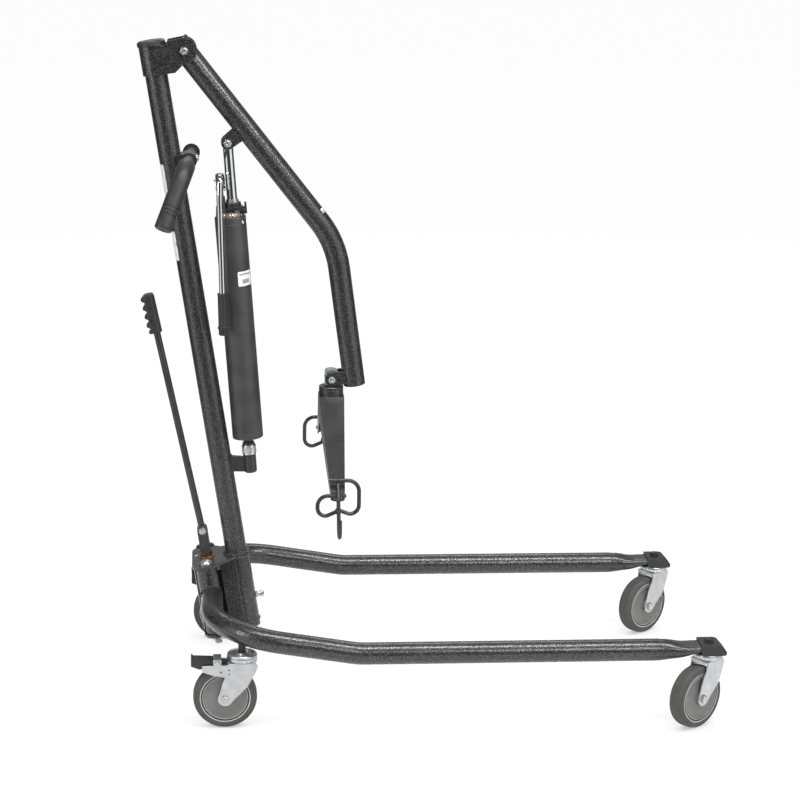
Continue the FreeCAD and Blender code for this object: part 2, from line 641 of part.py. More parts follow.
def pump_head(fittings):
    """Head block with the lever tower at its right rear."""
    head = fuse(box(-27, 27, -19, 19, HEAD_Z, HEAD_TOP), cyl(27, 9, Vec(0, 0, HEAD_Z)),
                cyl(17, 27, Vec(RAM_X, 0, HEAD_Z)))
    head = rounded(head, 4.0, lambda edge: edge.BoundBox.ZLength < 0.1
                   and abs(edge.BoundBox.Center.z - HEAD_TOP) < 0.2 and edge.Length > 20)
    tower = fuse(cyl(7.0, 52, Vec(-14, PUMP_Y, 506)),
                 cyl(8.0, 9.2, Vec(-18.6, PUMP_Y, PUMP_Z), X))
    tower = tower.cut(box(-40, -18.6, -30, 0, 540, 575)).cut(box(-9.4, 0, -30, 0, 540, 575))
    head = fuse(head, tower)
    for cutter in [cyl(10.36, 60, Vec(RAM_X, 0, 490)), cyl(4.0, 40, Vec(-40, PUMP_Y, PUMP_Z), X),
                   cyl(4.5, 30, Vec(12, 0, VALVE_Z), X)] + fittings:
        head = head.cut(cutter)
    return head


def release_valve():
    stem = stack(Vec(0, 0, VALVE_Z), X, (cyl, 4.44, 12, 19), (cyl, 7.5, 5, 27.5))
    tab = rounded(box(30, 34.5, -6.5, 6.5, 500.6, 524), 3.0,
                  lambda edge: edge.BoundBox.XLength > 4 and edge.BoundBox.YLength < 0.1
                  and edge.BoundBox.ZLength < 0.1)
    return fuse(stem, tab)


def pump_lever_rod():
    """Yoke straddling the tower, with the bent rod."""
    yoke = fuse(box(-23.2, -19.0, -20, -8, 552, 585), box(-9.0, -4.8, -20, -8, 552, 585),
                box(-23.2, -4.8, -20, -8, 579, 586.5))
    yoke = rounded(yoke, 5.0, lambda edge: edge.BoundBox.YLength > 11
                   and edge.BoundBox.ZLength < 0.1 and edge.BoundBox.XLength < 0.1
                   and edge.BoundBox.Center.z > 586)
    yoke = fuse(yoke, *[cyl(7.0, 4.2, Vec(x, PUMP_Y, PUMP_Z), X) for x in (-23.2, -9.0)])
    yoke = yoke.cut(cyl(3.96, 40, Vec(-40, PUMP_Y, PUMP_Z), X))
    return fuse(yoke, sweep(PUMP_PATH, [12, 30], 6.0))


def pump_lever_grip():
    length, overlap = 86, 20.0
    along = (PUMP_PATH[3] - PUMP_PATH[2]).normalize()
    start = PUMP_PATH[3] - along * overlap
    grip = stack(start, along, (cyl, 9.6, length, 0), (cyl, 11.2, 4, 68), (cyl, 10.4, 3, 0))
    grip = rounded(grip, 4.0, centred_near(start + along * length, 1.0))
    return grip.cut(cyl(6.0, overlap, start, along))


pump_fittings = [ring(12.8, 10.4, 6, Vec(RAM_X, 0, 525)),
                 stack(Vec(-14, 12, HEAD_TOP), Z, (hexagon, 12, 6, 0), (dome, 5, 3, 6)),
                 stack(Vec(14, -19, 506), -Y, (cyl, 3.2, 4, 0), (hexagon, 10, 5, 0))]
for name, shape in (
        ("jack_cylinder", jack_cylinder()),
        ("jack_foot", fuse(Part.makeSphere(BALL_R), cyl(8.0, 38), cyl(12.25, 5, Vec(0, 0, 23)))),
        ("jack_collar", jack_collar()),
        ("pump_head", pump_head(pump_fittings)),
        ("pump_fittings", Part.makeCompound(pump_fittings)),
        ("release_valve", release_valve()),
        ("ram_rod", cyl(10.3, RAM_EYE_Z - 12 - 232, Vec(RAM_X, 0, 232))),
        ("ram_eye", fuse(across(11.0, 24, RAM_X, RAM_EYE_Z),
                         cyl(9.5, 12, Vec(RAM_X, 0, RAM_EYE_Z - 12)))),
        ("pump_lever_rod", pump_lever_rod()),
        ("pump_lever_pin", stack(Vec(0, PUMP_Y, PUMP_Z), X, (cyl, 3.94, 19.6, -23.8),
                                 (cyl, 5.5, 1.2, -24.4), (cyl, 5.5, 1.0, -4.8))),
        ("pump_lever_grip", pump_lever_grip())):
    save(name, jack(shape))

# ================================================================ casters
# Caster frame: Z is the swivel axis, the wheel trails towards -X.
CHEEK_Y = (-22.5, 19.5)              # right face of each 3 mm fork cheek
CHEEK_T = 3.0
PEDAL_X, PEDAL_Z = -50, 131          # pedal pin
RIM = WHEEL_W / 2
# right halves of the wheel profiles: radius, y
TYRE = [(47.0, -RIM + 1.2), (52, -RIM), (57, -RIM + 0.3), (60.6, -RIM + 1.6),
        (62.7, -RIM + 4.2), (WHEEL_R, -RIM + 8.0)]
HUB = [(5.06, -18.5), (11, -18.5), (12, -13.5), (36, -12.5), (43.5, -13.0), (44.5, -14.6),
       (46.99, -14.6)]
# arm that carries the brake pedal, one each side: x, z
PEDAL_ARM = [(-24, 134), (-30, 130.5), (-79, 129.5), (-79, 118.5), (-76, 116), (-71, 114),
             (-55, 108.5), (-41, 106.2), (-24, 103)]
# pedal outline: x, z
PEDAL = [(-101, 144.5), (-97, 138.5), (-58, 136.8), (-46, 136.5), (-44, 132), (-66, 124.5),
         (-84, 120.5), (-101, 127)]


def swivel_race(brake):
    lower = Part.makeCone(24, 30.0, 4.5, Vec(0, 0, 132.5))
    if brake:
        return fuse(cyl(30.0, 8.2, Vec(0, 0, 137)), Part.makeTorus(25.2, 4.8, Vec(0, 0, 145.2)),
                    Part.makeCone(17, 12, 5.9, Vec(0, 0, 145.0)), lower)
    race = fuse(cyl(30.0, 8.5, Vec(0, 0, 137)),
                Part.makeCone(30.0, 17, 5.4, Vec(0, 0, 145.5)), lower)
    return rounded(race, 2.4, lambda edge: edge.BoundBox.XLength > 59)


def caster_fork(brake):
    """Race, top plate, cheeks and axle, with pedal arms and pin if braked."""
    front = 31.0 if brake else 25.0
    plate = fuse(cyl(24, 5, Vec(0, 0, 130)), box(-26, 10, -23, 23, 130, 134))
    outline = [(front - 4, 134), (front, 128), (front - 2.5, 119), (11.5, 86),
               (-TRAIL + 13.6, WHEEL_Z - 6.0), (-TRAIL - 14.3, WHEEL_Z + 1.0),
               (-TRAIL - 5.5, 92), (-34, 104), (-27, 116), (-24, 134)]
    cheeks = []
    for y in CHEEK_Y:
        cheek = fuse(slab(outline, y, y + CHEEK_T),
                     cyl(14.6, CHEEK_T, Vec(-TRAIL, y, WHEEL_Z), Y))
        if brake:
            cheek = fuse(cheek, slab(PEDAL_ARM, y, y + CHEEK_T))
        cheeks.append(cheek)
    fork = fuse(swivel_race(brake), plate, *cheeks).cut(cyl(4.0, 10, Vec(0, 0, 143)))
    if brake:
        for x, z in ((-42.0, 116.0), (-26.0, 120.5), (-26.0, 112.0)):
            fork = fork.cut(across(1.7, 60, x, z))
    fork = fuse(fork, stack(Vec(-TRAIL, 0, WHEEL_Z), Y, (cyl, 5.0, 47, -23.5),
                            (hexagon, 14, 5, -27.5), (dome, 7.5, 3, 22.5)))
    if brake:
        at = Vec(PEDAL_X, 0, PEDAL_Z)
        pin = stack(at, Y, (cyl, 3.0, 46, -23), (cyl, 5, 1.4, -24), (cyl, 5, 1.4, 22.5))
        fork = fuse(fork, *[cyl(6.5, CHEEK_T, at + Y * y, Y) for y in CHEEK_Y], pin)
    return fork


def wheel_part(half):
    """Half profile mirrored and revolved about the axle."""
    profile = half + [(radius, -y) for radius, y in reversed(half)]
    part = face([Vec(radius, y, 0) for radius, y in profile]).revolve(Vec(), Y, 360)
    part.translate(Vec(-TRAIL, 0, WHEEL_Z))
    return part


def brake_pedal():
    pedal = rounded(slab(PEDAL, -17, 17), 1.2, lambda edge: edge.BoundBox.YLength > 30
                    and edge.BoundBox.Center.x < -60)
    pedal = fuse(pedal, across(5.5, 38.6, PEDAL_X, PEDAL_Z))
    return pedal.cut(across(3.06, 60, PEDAL_X, PEDAL_Z))


tyre, hub = wheel_part(TYRE), wheel_part(HUB)
rear = {"fork": caster_fork(True), "tyre": tyre, "hub": hub, "pedal": brake_pedal()}
front = {"fork": caster_fork(False), "tyre": tyre, "hub": hub}
for end, pieces, stem, yaw in (("rear", rear, REAR_STEM, 0),
                               ("front", front, FRONT_STEM, FRONT_YAW)):
    for side, sign in (("right", -1), ("left", 1)):
        for piece, shape in pieces.items():
            placed = shape.copy()
            placed.rotate(Vec(), Z, yaw)
            placed.translate(Vec(stem[0], sign * stem[1], 0))
            save("caster_%s_%s_%s" % (end, side, piece), placed)
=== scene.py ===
"""A wheeled lift with a hydraulic jack, in metres, +Z up.

Two legs on casters carry a mast that leans towards -X as it rises. The jack stands on the
+X side of the mast and reaches up to a bent boom, which hangs from the mast top on the +X
side and carries a cradle. Left is +Y, right is -Y. The camera looks from -Y.

The CAD pieces get materials and fine shading. Wheels, weld beads, bolt ends and labels are
added as meshes. Sizes are in millimetres unless a comment says otherwise.
"""
import json
import math
from functools import cache

import bmesh
import bpy
from mathutils import Matrix, Vector
from mathutils.bvhtree import BVHTree

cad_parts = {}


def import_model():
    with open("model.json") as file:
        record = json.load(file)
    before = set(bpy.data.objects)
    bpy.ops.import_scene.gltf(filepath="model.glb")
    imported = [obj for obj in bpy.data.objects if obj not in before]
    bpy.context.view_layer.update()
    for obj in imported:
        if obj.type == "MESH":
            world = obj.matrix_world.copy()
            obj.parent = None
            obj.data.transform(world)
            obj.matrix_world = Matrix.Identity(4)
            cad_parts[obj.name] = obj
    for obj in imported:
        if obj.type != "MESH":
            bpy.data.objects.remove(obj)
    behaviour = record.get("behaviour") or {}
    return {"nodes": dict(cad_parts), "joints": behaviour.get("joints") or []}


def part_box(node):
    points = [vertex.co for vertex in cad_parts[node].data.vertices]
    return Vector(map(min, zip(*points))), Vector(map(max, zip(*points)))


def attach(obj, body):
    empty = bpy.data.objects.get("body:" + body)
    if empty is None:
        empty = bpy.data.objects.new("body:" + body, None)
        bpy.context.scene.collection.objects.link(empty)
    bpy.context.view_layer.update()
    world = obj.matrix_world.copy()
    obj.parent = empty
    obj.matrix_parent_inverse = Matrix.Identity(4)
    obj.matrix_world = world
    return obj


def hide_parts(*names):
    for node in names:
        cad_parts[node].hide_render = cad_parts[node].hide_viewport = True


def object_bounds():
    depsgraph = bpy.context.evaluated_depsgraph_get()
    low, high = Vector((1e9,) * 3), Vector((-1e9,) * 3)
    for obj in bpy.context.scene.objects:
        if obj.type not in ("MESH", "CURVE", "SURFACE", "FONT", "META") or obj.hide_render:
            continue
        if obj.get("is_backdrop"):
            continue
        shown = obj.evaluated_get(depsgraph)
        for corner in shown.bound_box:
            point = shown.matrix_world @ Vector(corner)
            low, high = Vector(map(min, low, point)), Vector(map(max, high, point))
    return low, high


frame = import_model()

CAD_LO, CAD_HI = [corner.copy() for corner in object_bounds()]
NODES = frame["nodes"]
JOINT = {joint["name"]: joint for joint in frame["joints"]}
SIDES = (("right", -1), ("left", 1))

# ------------------------------------------------------------------ driving dimensions
MAST_LEAN = math.radians(9.04)
MAST_FOOT_X = 72.1
JACK_LEAN = math.radians(4.5)
JACK_FOOT = Vector((55.0, 0.0, 485.0))
UPPER_ANGLE = math.radians(38.3)        # boom above its bend, from straight down
LOWER_ANGLE = math.radians(8.0)         # boom below its bend
TUBE_R = 22.225                         # mast, boom and leg tubes
JACK_R = 31.5
LEG_PIVOT_X = -65.0                     # in the mast frame, as are the plates below
LEG_PIVOT_Y = 47.0

MAST_UP = Vector((-math.sin(MAST_LEAN), 0, math.cos(MAST_LEAN)))
MAST_FORE = Vector((math.cos(MAST_LEAN), 0, math.sin(MAST_LEAN)))
JACK_UP = Vector((-math.sin(JACK_LEAN), 0, math.cos(JACK_LEAN)))
JACK_FORE = Vector((math.cos(JACK_LEAN), 0, math.sin(JACK_LEAN)))
UPPER_DIR = Vector((math.sin(UPPER_ANGLE), 0, -math.cos(UPPER_ANGLE)))
LOWER_DIR = Vector((math.sin(LOWER_ANGLE), 0, -math.cos(LOWER_ANGLE)))
Y_AXIS = Vector((0, 1, 0))
Z_AXIS = Vector((0, 0, 1))


# ------------------------------------------------------------------ frames of reference
def raw_mast(x, y, z):
    """Mast frame (z up the leaning tube) to design millimetres."""
    return Vector((MAST_FOOT_X + x * math.cos(MAST_LEAN) - z * math.sin(MAST_LEAN), y,
                   x * math.sin(MAST_LEAN) + z * math.cos(MAST_LEAN)))


def raw_jack(x, y, z):
    """Jack frame (z up the jack) to design millimetres."""
    return JACK_FOOT + JACK_FORE * x + JACK_UP * z + Y_AXIS * y


# Pins and the boom's bend, in design millimetres
BOOM_PIVOT = raw_mast(61.85, 0, 1317.35)
BOOM_BEND = BOOM_PIVOT + UPPER_DIR * 487.3
JACK_PIN = raw_jack(6.7, 0, 645.5)
HANGER_PIN = BOOM_BEND + LOWER_DIR * 277.7 + Vector((LOWER_DIR.z, 0, -LOWER_DIR.x)) * 45.4

# The boom pivot in the design has to land on the recorded joint
SHIFT = Vector(JOINT["boom_lift"]["pos_m"]) * 1000.0 - BOOM_PIVOT


def world(raw):
    return (raw + SHIFT) / 1000.0


def mast(x, y, z):
    return world(raw_mast(x, y, z))


def jack(x, y, z):
    return world(raw_jack(x, y, z))


def steps(start, span, count):
    """Evenly spaced values from start to start + span, both included."""
    return [start + span * k / count for k in range(count + 1)]


# ------------------------------------------------------------------ shader helper
def rgba(colour):
    """A colour or a single grey value, with alpha."""
    if isinstance(colour, (int, float)):
        colour = (colour,) * 3
    return (*colour, 1)


class Net:
    """Builds the node tree of a material or world."""

    def __init__(self, owner):
        owner.use_nodes = True
        self.owner = owner
        self.tree = owner.node_tree
        self.tree.nodes.clear()

    def node(self, kind, inputs=None, **props):
        """Adds a node; inputs maps a socket's name or number to a value or a source."""
        node = self.tree.nodes.new(kind)
        for key, value in props.items():
            setattr(node, key, value)
        for key, value in (inputs or {}).items():
            socket = node.inputs[key]
            if isinstance(value, bpy.types.NodeSocket):
                self.tree.links.new(value, socket)
            else:
                socket.default_value = rgba(value) if socket.type == "RGBA" else value
        return node

    def ramp(self, fac, stops):
        """Stops are (position, grey or colour)."""
        node = self.node("ShaderNodeValToRGB", {"Fac": fac})
        elements = node.color_ramp.elements
        while len(elements) < len(stops):
            elements.new(0.5)
        for element, (position, colour) in zip(elements, stops):
            element.position = position
            element.color = rgba(colour)
        return node.outputs["Color"]

    def fade(self, fac, start, end, at=(0.3, 0.7)):
        """Ramp from start to end between the two positions in at."""
        return self.ramp(fac, [(at[0], start), (at[1], end)])

    def calc(self, operation, *values, clamp=False):
        inputs = dict(enumerate(values))
        return self.node("ShaderNodeMath", inputs, operation=operation,
                         use_clamp=clamp).outputs[0]

    def add(self, first, second):
        return self.calc("ADD", first, second)

    def times(self, first, second, clamp=False):
        return self.calc("MULTIPLY", first, second, clamp=clamp)

    def mix(self, fac, first, second, mode="MIX"):
        return self.node("ShaderNodeMix", {0: fac, 6: first, 7: second},
                         data_type="RGBA", blend_type=mode).outputs[2]

    def mix_shader(self, fac, first, second):
        return self.node("ShaderNodeMixShader", {0: fac, 1: first, 2: second}).outputs[0]

    def noise(self, scale, detail=2.0, rough=0.5, distortion=0.0, vector=None, out="Fac"):
        return self.node("ShaderNodeTexNoise", {
            "Scale": scale, "Detail": detail, "Roughness": rough, "Distortion": distortion,
            "Vector": self.coords if vector is None else vector}).outputs[out]

    def voronoi(self, scale, out="Distance"):
        return self.node("ShaderNodeTexVoronoi",
                         {"Scale": scale, "Vector": self.coords}).outputs[out]

    def stretched(self, z_scale):
        """Object coordinates that draw a texture out along Z."""
        return self.node("ShaderNodeMapping", {
            "Scale": (1.0, 1.0, z_scale), "Vector": self.coords}).outputs[0]

    def bump(self, height, strength, distance, normal=None):
        inputs = {"Strength": strength, "Distance": distance, "Height": height}
        if normal is not None:
            inputs["Normal"] = normal
        return self.node("ShaderNodeBump", inputs).outputs["Normal"]

    def rounded(self, radius):
        """Normal with edges rounded to a radius in metres."""
        return self.node("ShaderNodeBevel", {"Radius": radius}, samples=4).outputs["Normal"]

    def edges(self, rounded):
        """1 where the rounded normal leaves the surface normal, 0 elsewhere."""
        surface = self.node("ShaderNodeNewGeometry").outputs["Normal"]
        dot = self.node("ShaderNodeVectorMath", {0: rounded, 1: surface},
                        operation="DOT_PRODUCT")
        return self.node("ShaderNodeMapRange", {
            "From Min": 0.985, "From Max": 0.80,
            "Value": dot.outputs["Value"]}).outputs["Result"]

    def patchy_edges(self, rounded, scale, at, amount):
        """Edge wear broken up by noise."""
        edges = self.edges(rounded)
        patches = self.fade(self.noise(scale=scale, detail=4.0, rough=0.7), 0.0, 1.0, at=at)
        return self.times(self.times(edges, patches), amount)

    def principled(self, **inputs):
        named = {key.replace("_", " "): value for key, value in inputs.items()}
        return self.node("ShaderNodeBsdfPrincipled", named).outputs["BSDF"]

    def output(self, shader, kind="ShaderNodeOutputMaterial"):
        self.node(kind, {"Surface": shader})

    def finish(self, **inputs):
        """Principled surface to the output; returns the material."""
        self.output(self.principled(**inputs))
        return self.owner


def new_net(name):
    net = Net(bpy.data.materials.new(name))
    net.coords = net.node("ShaderNodeTexCoord").outputs["Object"]
    return net


# ------------------------------------------------------------------ materials
def hammertone():
    net = new_net("hammertone_paint")
    # Dimples about 3 mm apart, pushed off their places by noise
    warp = net.noise(scale=230, out="Color")
    warped = net.node("ShaderNodeVectorMath", {0: warp, 1: (0.0022,) * 3, 2: net.coords},
                      operation="MULTIPLY_ADD").outputs["Vector"]
    cell = net.node("ShaderNodeTexVoronoi",
                    {"Scale": 340, "Smoothness": 0.28, "Vector": warped},
                    feature="SMOOTH_F1").outputs["Distance"]
    fine = net.noise(scale=1300, detail=3.0, rough=0.6)
    middle = net.noise(scale=340, detail=3.0, rough=0.65)
    broad = net.noise(scale=13, detail=3.0, rough=0.55)
    colour = net.ramp(cell, [(0.0, (0.155, 0.156, 0.153)), (0.26, (0.088, 0.089, 0.087)),
                             (0.48, (0.024, 0.0244, 0.024)), (0.76, (0.008, 0.0082, 0.008))])
    dark = net.fade(middle, 0.0, 0.82, at=(0.42, 0.64))
    colour = net.mix(dark, colour, (0.011, 0.0112, 0.011))
    flecks = net.fade(fine, 0.0, 0.5, at=(0.58, 0.76))
    colour = net.mix(flecks, colour, (0.14, 0.14, 0.137))
    shade = net.fade(broad, 0.66, 1.0, at=(0.35, 0.65))
    colour = net.mix(0.55, colour, shade, mode="MULTIPLY")
    rounded = net.rounded(0.0012)
    wear = net.patchy_edges(rounded, scale=220, at=(0.50, 0.66), amount=0.55)
    colour = net.mix(wear, colour, (0.30, 0.30, 0.29))
    height = net.add(net.calc("SUBTRACT", 1.0, cell), net.times(middle, 0.35))
    normal = net.bump(height, strength=0.42, distance=0.00070, normal=rounded)
    coat_normal = net.bump(height, strength=0.34, distance=0.00062, normal=rounded)
    return net.finish(Base_Color=colour, Metallic=0.22,
                      Roughness=net.fade(cell, 0.28, 0.42, at=(0.0, 0.6)), Normal=normal,
                      Coat_Weight=0.70, Coat_Roughness=0.13, Coat_Normal=coat_normal)


def black_paint(name, dark, light, rough, bump, coat, peel_scale):
    """Slightly blue black paint; rough is the (low, high) roughness."""
    net = new_net(name)
    peel = net.noise(scale=peel_scale, detail=3.0, rough=0.55)
    broad = net.noise(scale=22, detail=3.0, rough=0.6)
    smear = net.noise(scale=95, detail=5.0, rough=0.65, distortion=0.6)
    colour = net.fade(broad, (dark, dark * 1.01, dark * 1.04),
                      (light, light * 1.01, light * 1.03), at=(0.35, 0.65))
    rounded = net.rounded(0.0010)
    wear = net.patchy_edges(rounded, scale=300, at=(0.50, 0.68), amount=0.40)
    colour = net.mix(wear, colour, (0.22, 0.22, 0.215))
    return net.finish(Base_Color=colour, Roughness=net.fade(smear, *rough),
                      Normal=net.bump(peel, strength=bump, distance=0.00025, normal=rounded),
                      Coat_Weight=coat, Coat_Roughness=0.18)


def black_plastic():
    net = new_net("moulded_black_plastic")
    cells = net.voronoi(scale=1900)
    grain = net.noise(scale=1140, detail=3.0, rough=0.6)
    broad = net.noise(scale=40, detail=3.0, rough=0.6)
    colour = net.fade(broad, (0.016, 0.016, 0.0164), (0.025, 0.025, 0.0254))
    rounded = net.rounded(0.0008)
    scuff = net.patchy_edges(rounded, scale=260, at=(0.45, 0.7), amount=0.5)
    colour = net.mix(scuff, colour, 0.10)
    normal = net.bump(net.add(cells, grain), strength=0.22, distance=0.00012, normal=rounded)
    return net.finish(Base_Color=colour, Roughness=net.fade(broad, 0.4048, 0.529),
                      Normal=normal)


def grip_rubber():
    net = new_net("grip_rubber")
    pores = net.voronoi(scale=1300)
    dust = net.noise(scale=55, detail=5.0, rough=0.7)
    colour = net.fade(dust, (0.013, 0.013, 0.01352), 0.026, at=(0.35, 0.75))
    rounded = net.rounded(0.0010)
    colour = net.mix(net.times(net.edges(rounded), 0.35), colour, 0.085)
    return net.finish(Base_Color=colour, Roughness=net.fade(dust, 0.38, 0.54),
                      Normal=net.bump(pores, strength=0.30, distance=0.0002, normal=rounded),
                      Sheen_Weight=0.04)


def zinc():
    net = new_net("bright_zinc_plate")
    spangle = net.node("ShaderNodeSeparateColor", {0: net.voronoi(scale=210, out="Color")})
    cloud = net.noise(scale=60, detail=5.0, rough=0.65)
    micro = net.noise(scale=2600)
    streak = net.noise(scale=900, detail=3.0, rough=0.6, vector=net.stretched(0.10))
    colour = net.fade(cloud, (0.44, 0.45, 0.46), (0.60, 0.61, 0.61))
    colour = net.mix(net.times(spangle.outputs[0], 0.12), colour, (0.52, 0.55, 0.60))
    stain = net.fade(net.noise(scale=34, detail=6.0, rough=0.75), 0.0, 1.0, at=(0.60, 0.74))
    colour = net.mix(net.times(stain, 0.22), colour, (0.36, 0.355, 0.34))
    rounded = net.rounded(0.0007)
    colour = net.mix(net.times(net.edges(rounded), 0.5), colour, (0.74, 0.74, 0.73))
    rough = net.add(net.times(cloud, 0.16), net.times(streak, 0.18))
    rough = net.add(rough, 0.16)
    normal = net.bump(net.add(micro, streak), strength=0.10, distance=0.0001, normal=rounded)
    return net.finish(Base_Color=colour, Metallic=0.92, Roughness=rough, Normal=normal)


def chrome():
    net = new_net("polished_chrome")
    smear = net.noise(scale=70, detail=5.0, rough=0.7)
    scratch = net.noise(scale=2600, rough=0.6, vector=net.stretched(0.03))
    colour = net.fade(smear, (0.62, 0.63, 0.64), 0.80)
    rounded = net.rounded(0.0006)
    rough = net.add(net.times(net.calc("POWER", smear, 2.0), 0.16), 0.045)
    normal = net.bump(scratch, strength=0.05, distance=0.00008, normal=rounded)
    return net.finish(Base_Color=colour, Metallic=1.0, Roughness=rough, Normal=normal)


def bronze():
    net = new_net("oiled_bronze")
    cloud = net.noise(scale=160, detail=5.0, rough=0.7)
    turning = net.noise(scale=2200)
    colour = net.fade(cloud, (0.30, 0.135, 0.045), (0.55, 0.30, 0.12))
    rounded = net.rounded(0.0006)
    return net.finish(Base_Color=colour, Metallic=0.85, Roughness=net.fade(cloud, 0.32, 0.5),
                      Normal=net.bump(turning, strength=0.2, distance=0.0001, normal=rounded))


def tyre_rubber():
    net = new_net("grey_tread_rubber")
    grain = net.noise(scale=1700, detail=3.0, rough=0.6)
    cloud = net.noise(scale=38, detail=6.0, rough=0.7)
    flecks = net.voronoi(scale=520)
    colour = net.fade(cloud, (0.058, 0.058, 0.0575), (0.084, 0.0835, 0.081), at=(0.30, 0.72))
    colour = net.mix(net.fade(flecks, 0.30, 0.0, at=(0.0, 0.16)), colour,
                     (0.115, 0.113, 0.109))
    rounded = net.rounded(0.0012)
    normal = net.bump(grain, strength=0.25, distance=0.00018, normal=rounded)
    return net.finish(Base_Color=colour, Roughness=net.fade(cloud, 0.52, 0.70),
                      Normal=normal, Specular_IOR_Level=0.35)


def hub_plastic():
    net = new_net("grey_moulded_hub")
    cloud = net.noise(scale=46, detail=5.0, rough=0.65)
    grain = net.noise(scale=2300)
    colour = net.fade(cloud, (0.142, 0.142, 0.139), (0.170, 0.170, 0.166))
    rounded = net.rounded(0.0008)
    colour = net.mix(net.times(net.edges(rounded), 0.5), colour, (0.34, 0.34, 0.33))
    return net.finish(Base_Color=colour, Roughness=net.fade(cloud, 0.36, 0.50),
                      Normal=net.bump(grain, strength=0.16, distance=0.00012, normal=rounded))


def label_vinyl():
    net = new_net("blank_vinyl_label")
    fibre = net.noise(scale=900, detail=4.0, rough=0.6)
    soil = net.noise(scale=70, detail=5.0, rough=0.7)
    colour = net.fade(soil, (0.70, 0.70, 0.69), (0.84, 0.84, 0.83))
    rounded = net.rounded(0.0006)
    colour = net.mix(net.times(net.edges(rounded), 0.4), colour, (0.45, 0.45, 0.44))
    return net.finish(Base_Color=colour, Roughness=net.fade(soil, 0.35, 0.55),
                      Normal=net.bump(fibre, strength=0.12, distance=0.0001, normal=rounded),
                      Coat_Weight=0.2)


def tint(name, dark, light, rough):
    """Plain clouded colour."""
    net = new_net(name)
    cloud = net.noise(scale=120, detail=5.0, rough=0.7)
    grain = net.noise(scale=1500)
    return net.finish(Base_Color=net.fade(cloud, dark, light),
                      Roughness=net.fade(cloud, rough * 0.85, rough * 1.15),
                      Normal=net.bump(grain, strength=0.15, distance=0.0001))


MATS = {
    "hammertone": hammertone(),
    "black_paint": black_paint("black_powder_coat", dark=0.013, light=0.024,
                               rough=(0.30, 0.44), bump=0.20, coat=0.35, peel_scale=900),
    "jack_paint": black_paint("jack_satin_paint", dark=0.030, light=0.044,
                              rough=(0.40, 0.54), bump=0.30, coat=0.12, peel_scale=1100),
    "black_plastic": black_plastic(),
    "grip": grip_rubber(),
    "zinc": zinc(),
    "chrome": chrome(),
    "bronze": bronze(),
    "tyre": tyre_rubber(),
    "hub": hub_plastic(),
    "label": label_vinyl(),
    # Near black for the cross pin, bumper and race seal rings; also painted shade in the rim
    # gaps and inside the base bracket
    "near_black_and_shade": tint("near_black_parts_and_painted_shade", dark=0.010, light=0.022, rough=0.6),
    # Pale grey of the wheel rings; also the painted reflection along the back plate's edges
    "pale_ring_and_reflection": tint("pale_rings_and_painted_reflection", dark=(0.40, 0.40, 0.395), light=(0.52, 0.52, 0.51),
                      rough=0.35),
    "red": tint("red_vinyl", dark=(0.45, 0.03, 0.02), light=(0.62, 0.06, 0.04), rough=0.4),
    "label_grey": tint("label_grey_print", dark=0.22, light=0.32, rough=0.5),
}

# Material of each CAD piece; the suffixes come next, and the rest is zinc
CAD_MATERIALS = {
    "hammertone": ("base_bracket", "mast_socket", "mast_tube", "boom_bracket", "boom_tube",
                   "boom_jack_lugs", "boom_hanger_lugs", "leg_left_tube", "leg_right_tube"),
    "jack_paint": ("jack_cylinder",),
    "black_paint": ("handle_bar", "handle_clamp", "jack_seat", "shifter_post",
                    "shifter_lever", "cradle_arm", "cradle_hooks", "pump_head",
                    "cradle_cup", "jack_foot"),
    "black_plastic": ("mast_cap", "leg_left_end_cap", "leg_right_end_cap", "boom_end_cap",
                      "release_valve", "leg_left_caster_bolts", "leg_right_caster_bolts"),
    "grip": ("handle_grips", "shifter_grip", "pump_lever_grip"),
    "chrome": ("jack_collar", "ram_rod", "ram_eye", "pump_lever_rod", "pump_lever_pin"),
    "bronze": ("shifter_washer", "boom_pivot_bush"),
}
CAD_SUFFIXES = (("pedal", "black_plastic"), ("tyre", "tyre"), ("hub", "hub"))


def cad_material(name):
    for key, names in CAD_MATERIALS.items():
        if name in names:
            return key
    for suffix, key in CAD_SUFFIXES:
        if name.endswith(suffix):
            return key
    return "zinc"


# ------------------------------------------------------------------ the CAD pieces
def smooth_group(angle):
    """Geometry nodes that smooth all faces but keep edges sharper than the angle."""
    group = bpy.data.node_groups.new("fine_shading_%d" % int(math.degrees(angle)),
                                     "GeometryNodeTree")
    for direction in ("INPUT", "OUTPUT"):
        group.interface.new_socket("Geometry", in_out=direction,
                                   socket_type="NodeSocketGeometry")
    add = group.nodes.new
    source = add("NodeGroupInput")
    result = add("NodeGroupOutput")
    merge = add("GeometryNodeMergeByDistance")
    merge.inputs["Distance"].default_value = 2e-6
    faces = add("GeometryNodeSetShadeSmooth")
    faces.domain = "FACE"
    faces.inputs["Shade Smooth"].default_value = True
    edge_angle = add("GeometryNodeInputMeshEdgeAngle")
    compare = add("FunctionNodeCompare")
    compare.data_type = "FLOAT"
    compare.operation = "LESS_THAN"
    compare.inputs[1].default_value = angle
    edges = add("GeometryNodeSetShadeSmooth")
    edges.domain = "EDGE"
    link = group.links.new
    link(source.outputs[0], merge.inputs["Geometry"])
    link(merge.outputs[0], faces.inputs["Geometry"])
    link(faces.outputs[0], edges.inputs["Geometry"])
    link(edge_angle.outputs["Unsigned Angle"], compare.inputs[0])
    link(compare.outputs[0], edges.inputs["Shade Smooth"])
    link(edges.outputs[0], result.inputs[0])
    return group


def dress_cad():
    group = smooth_group(math.radians(28))
    for name, obj in NODES.items():
        obj.data.materials.clear()
        obj.data.materials.append(MATS[cad_material(name)])
        for face in obj.data.polygons:
            face.material_index = 0
        obj.modifiers.new("fine_shading", "NODES").node_group = group


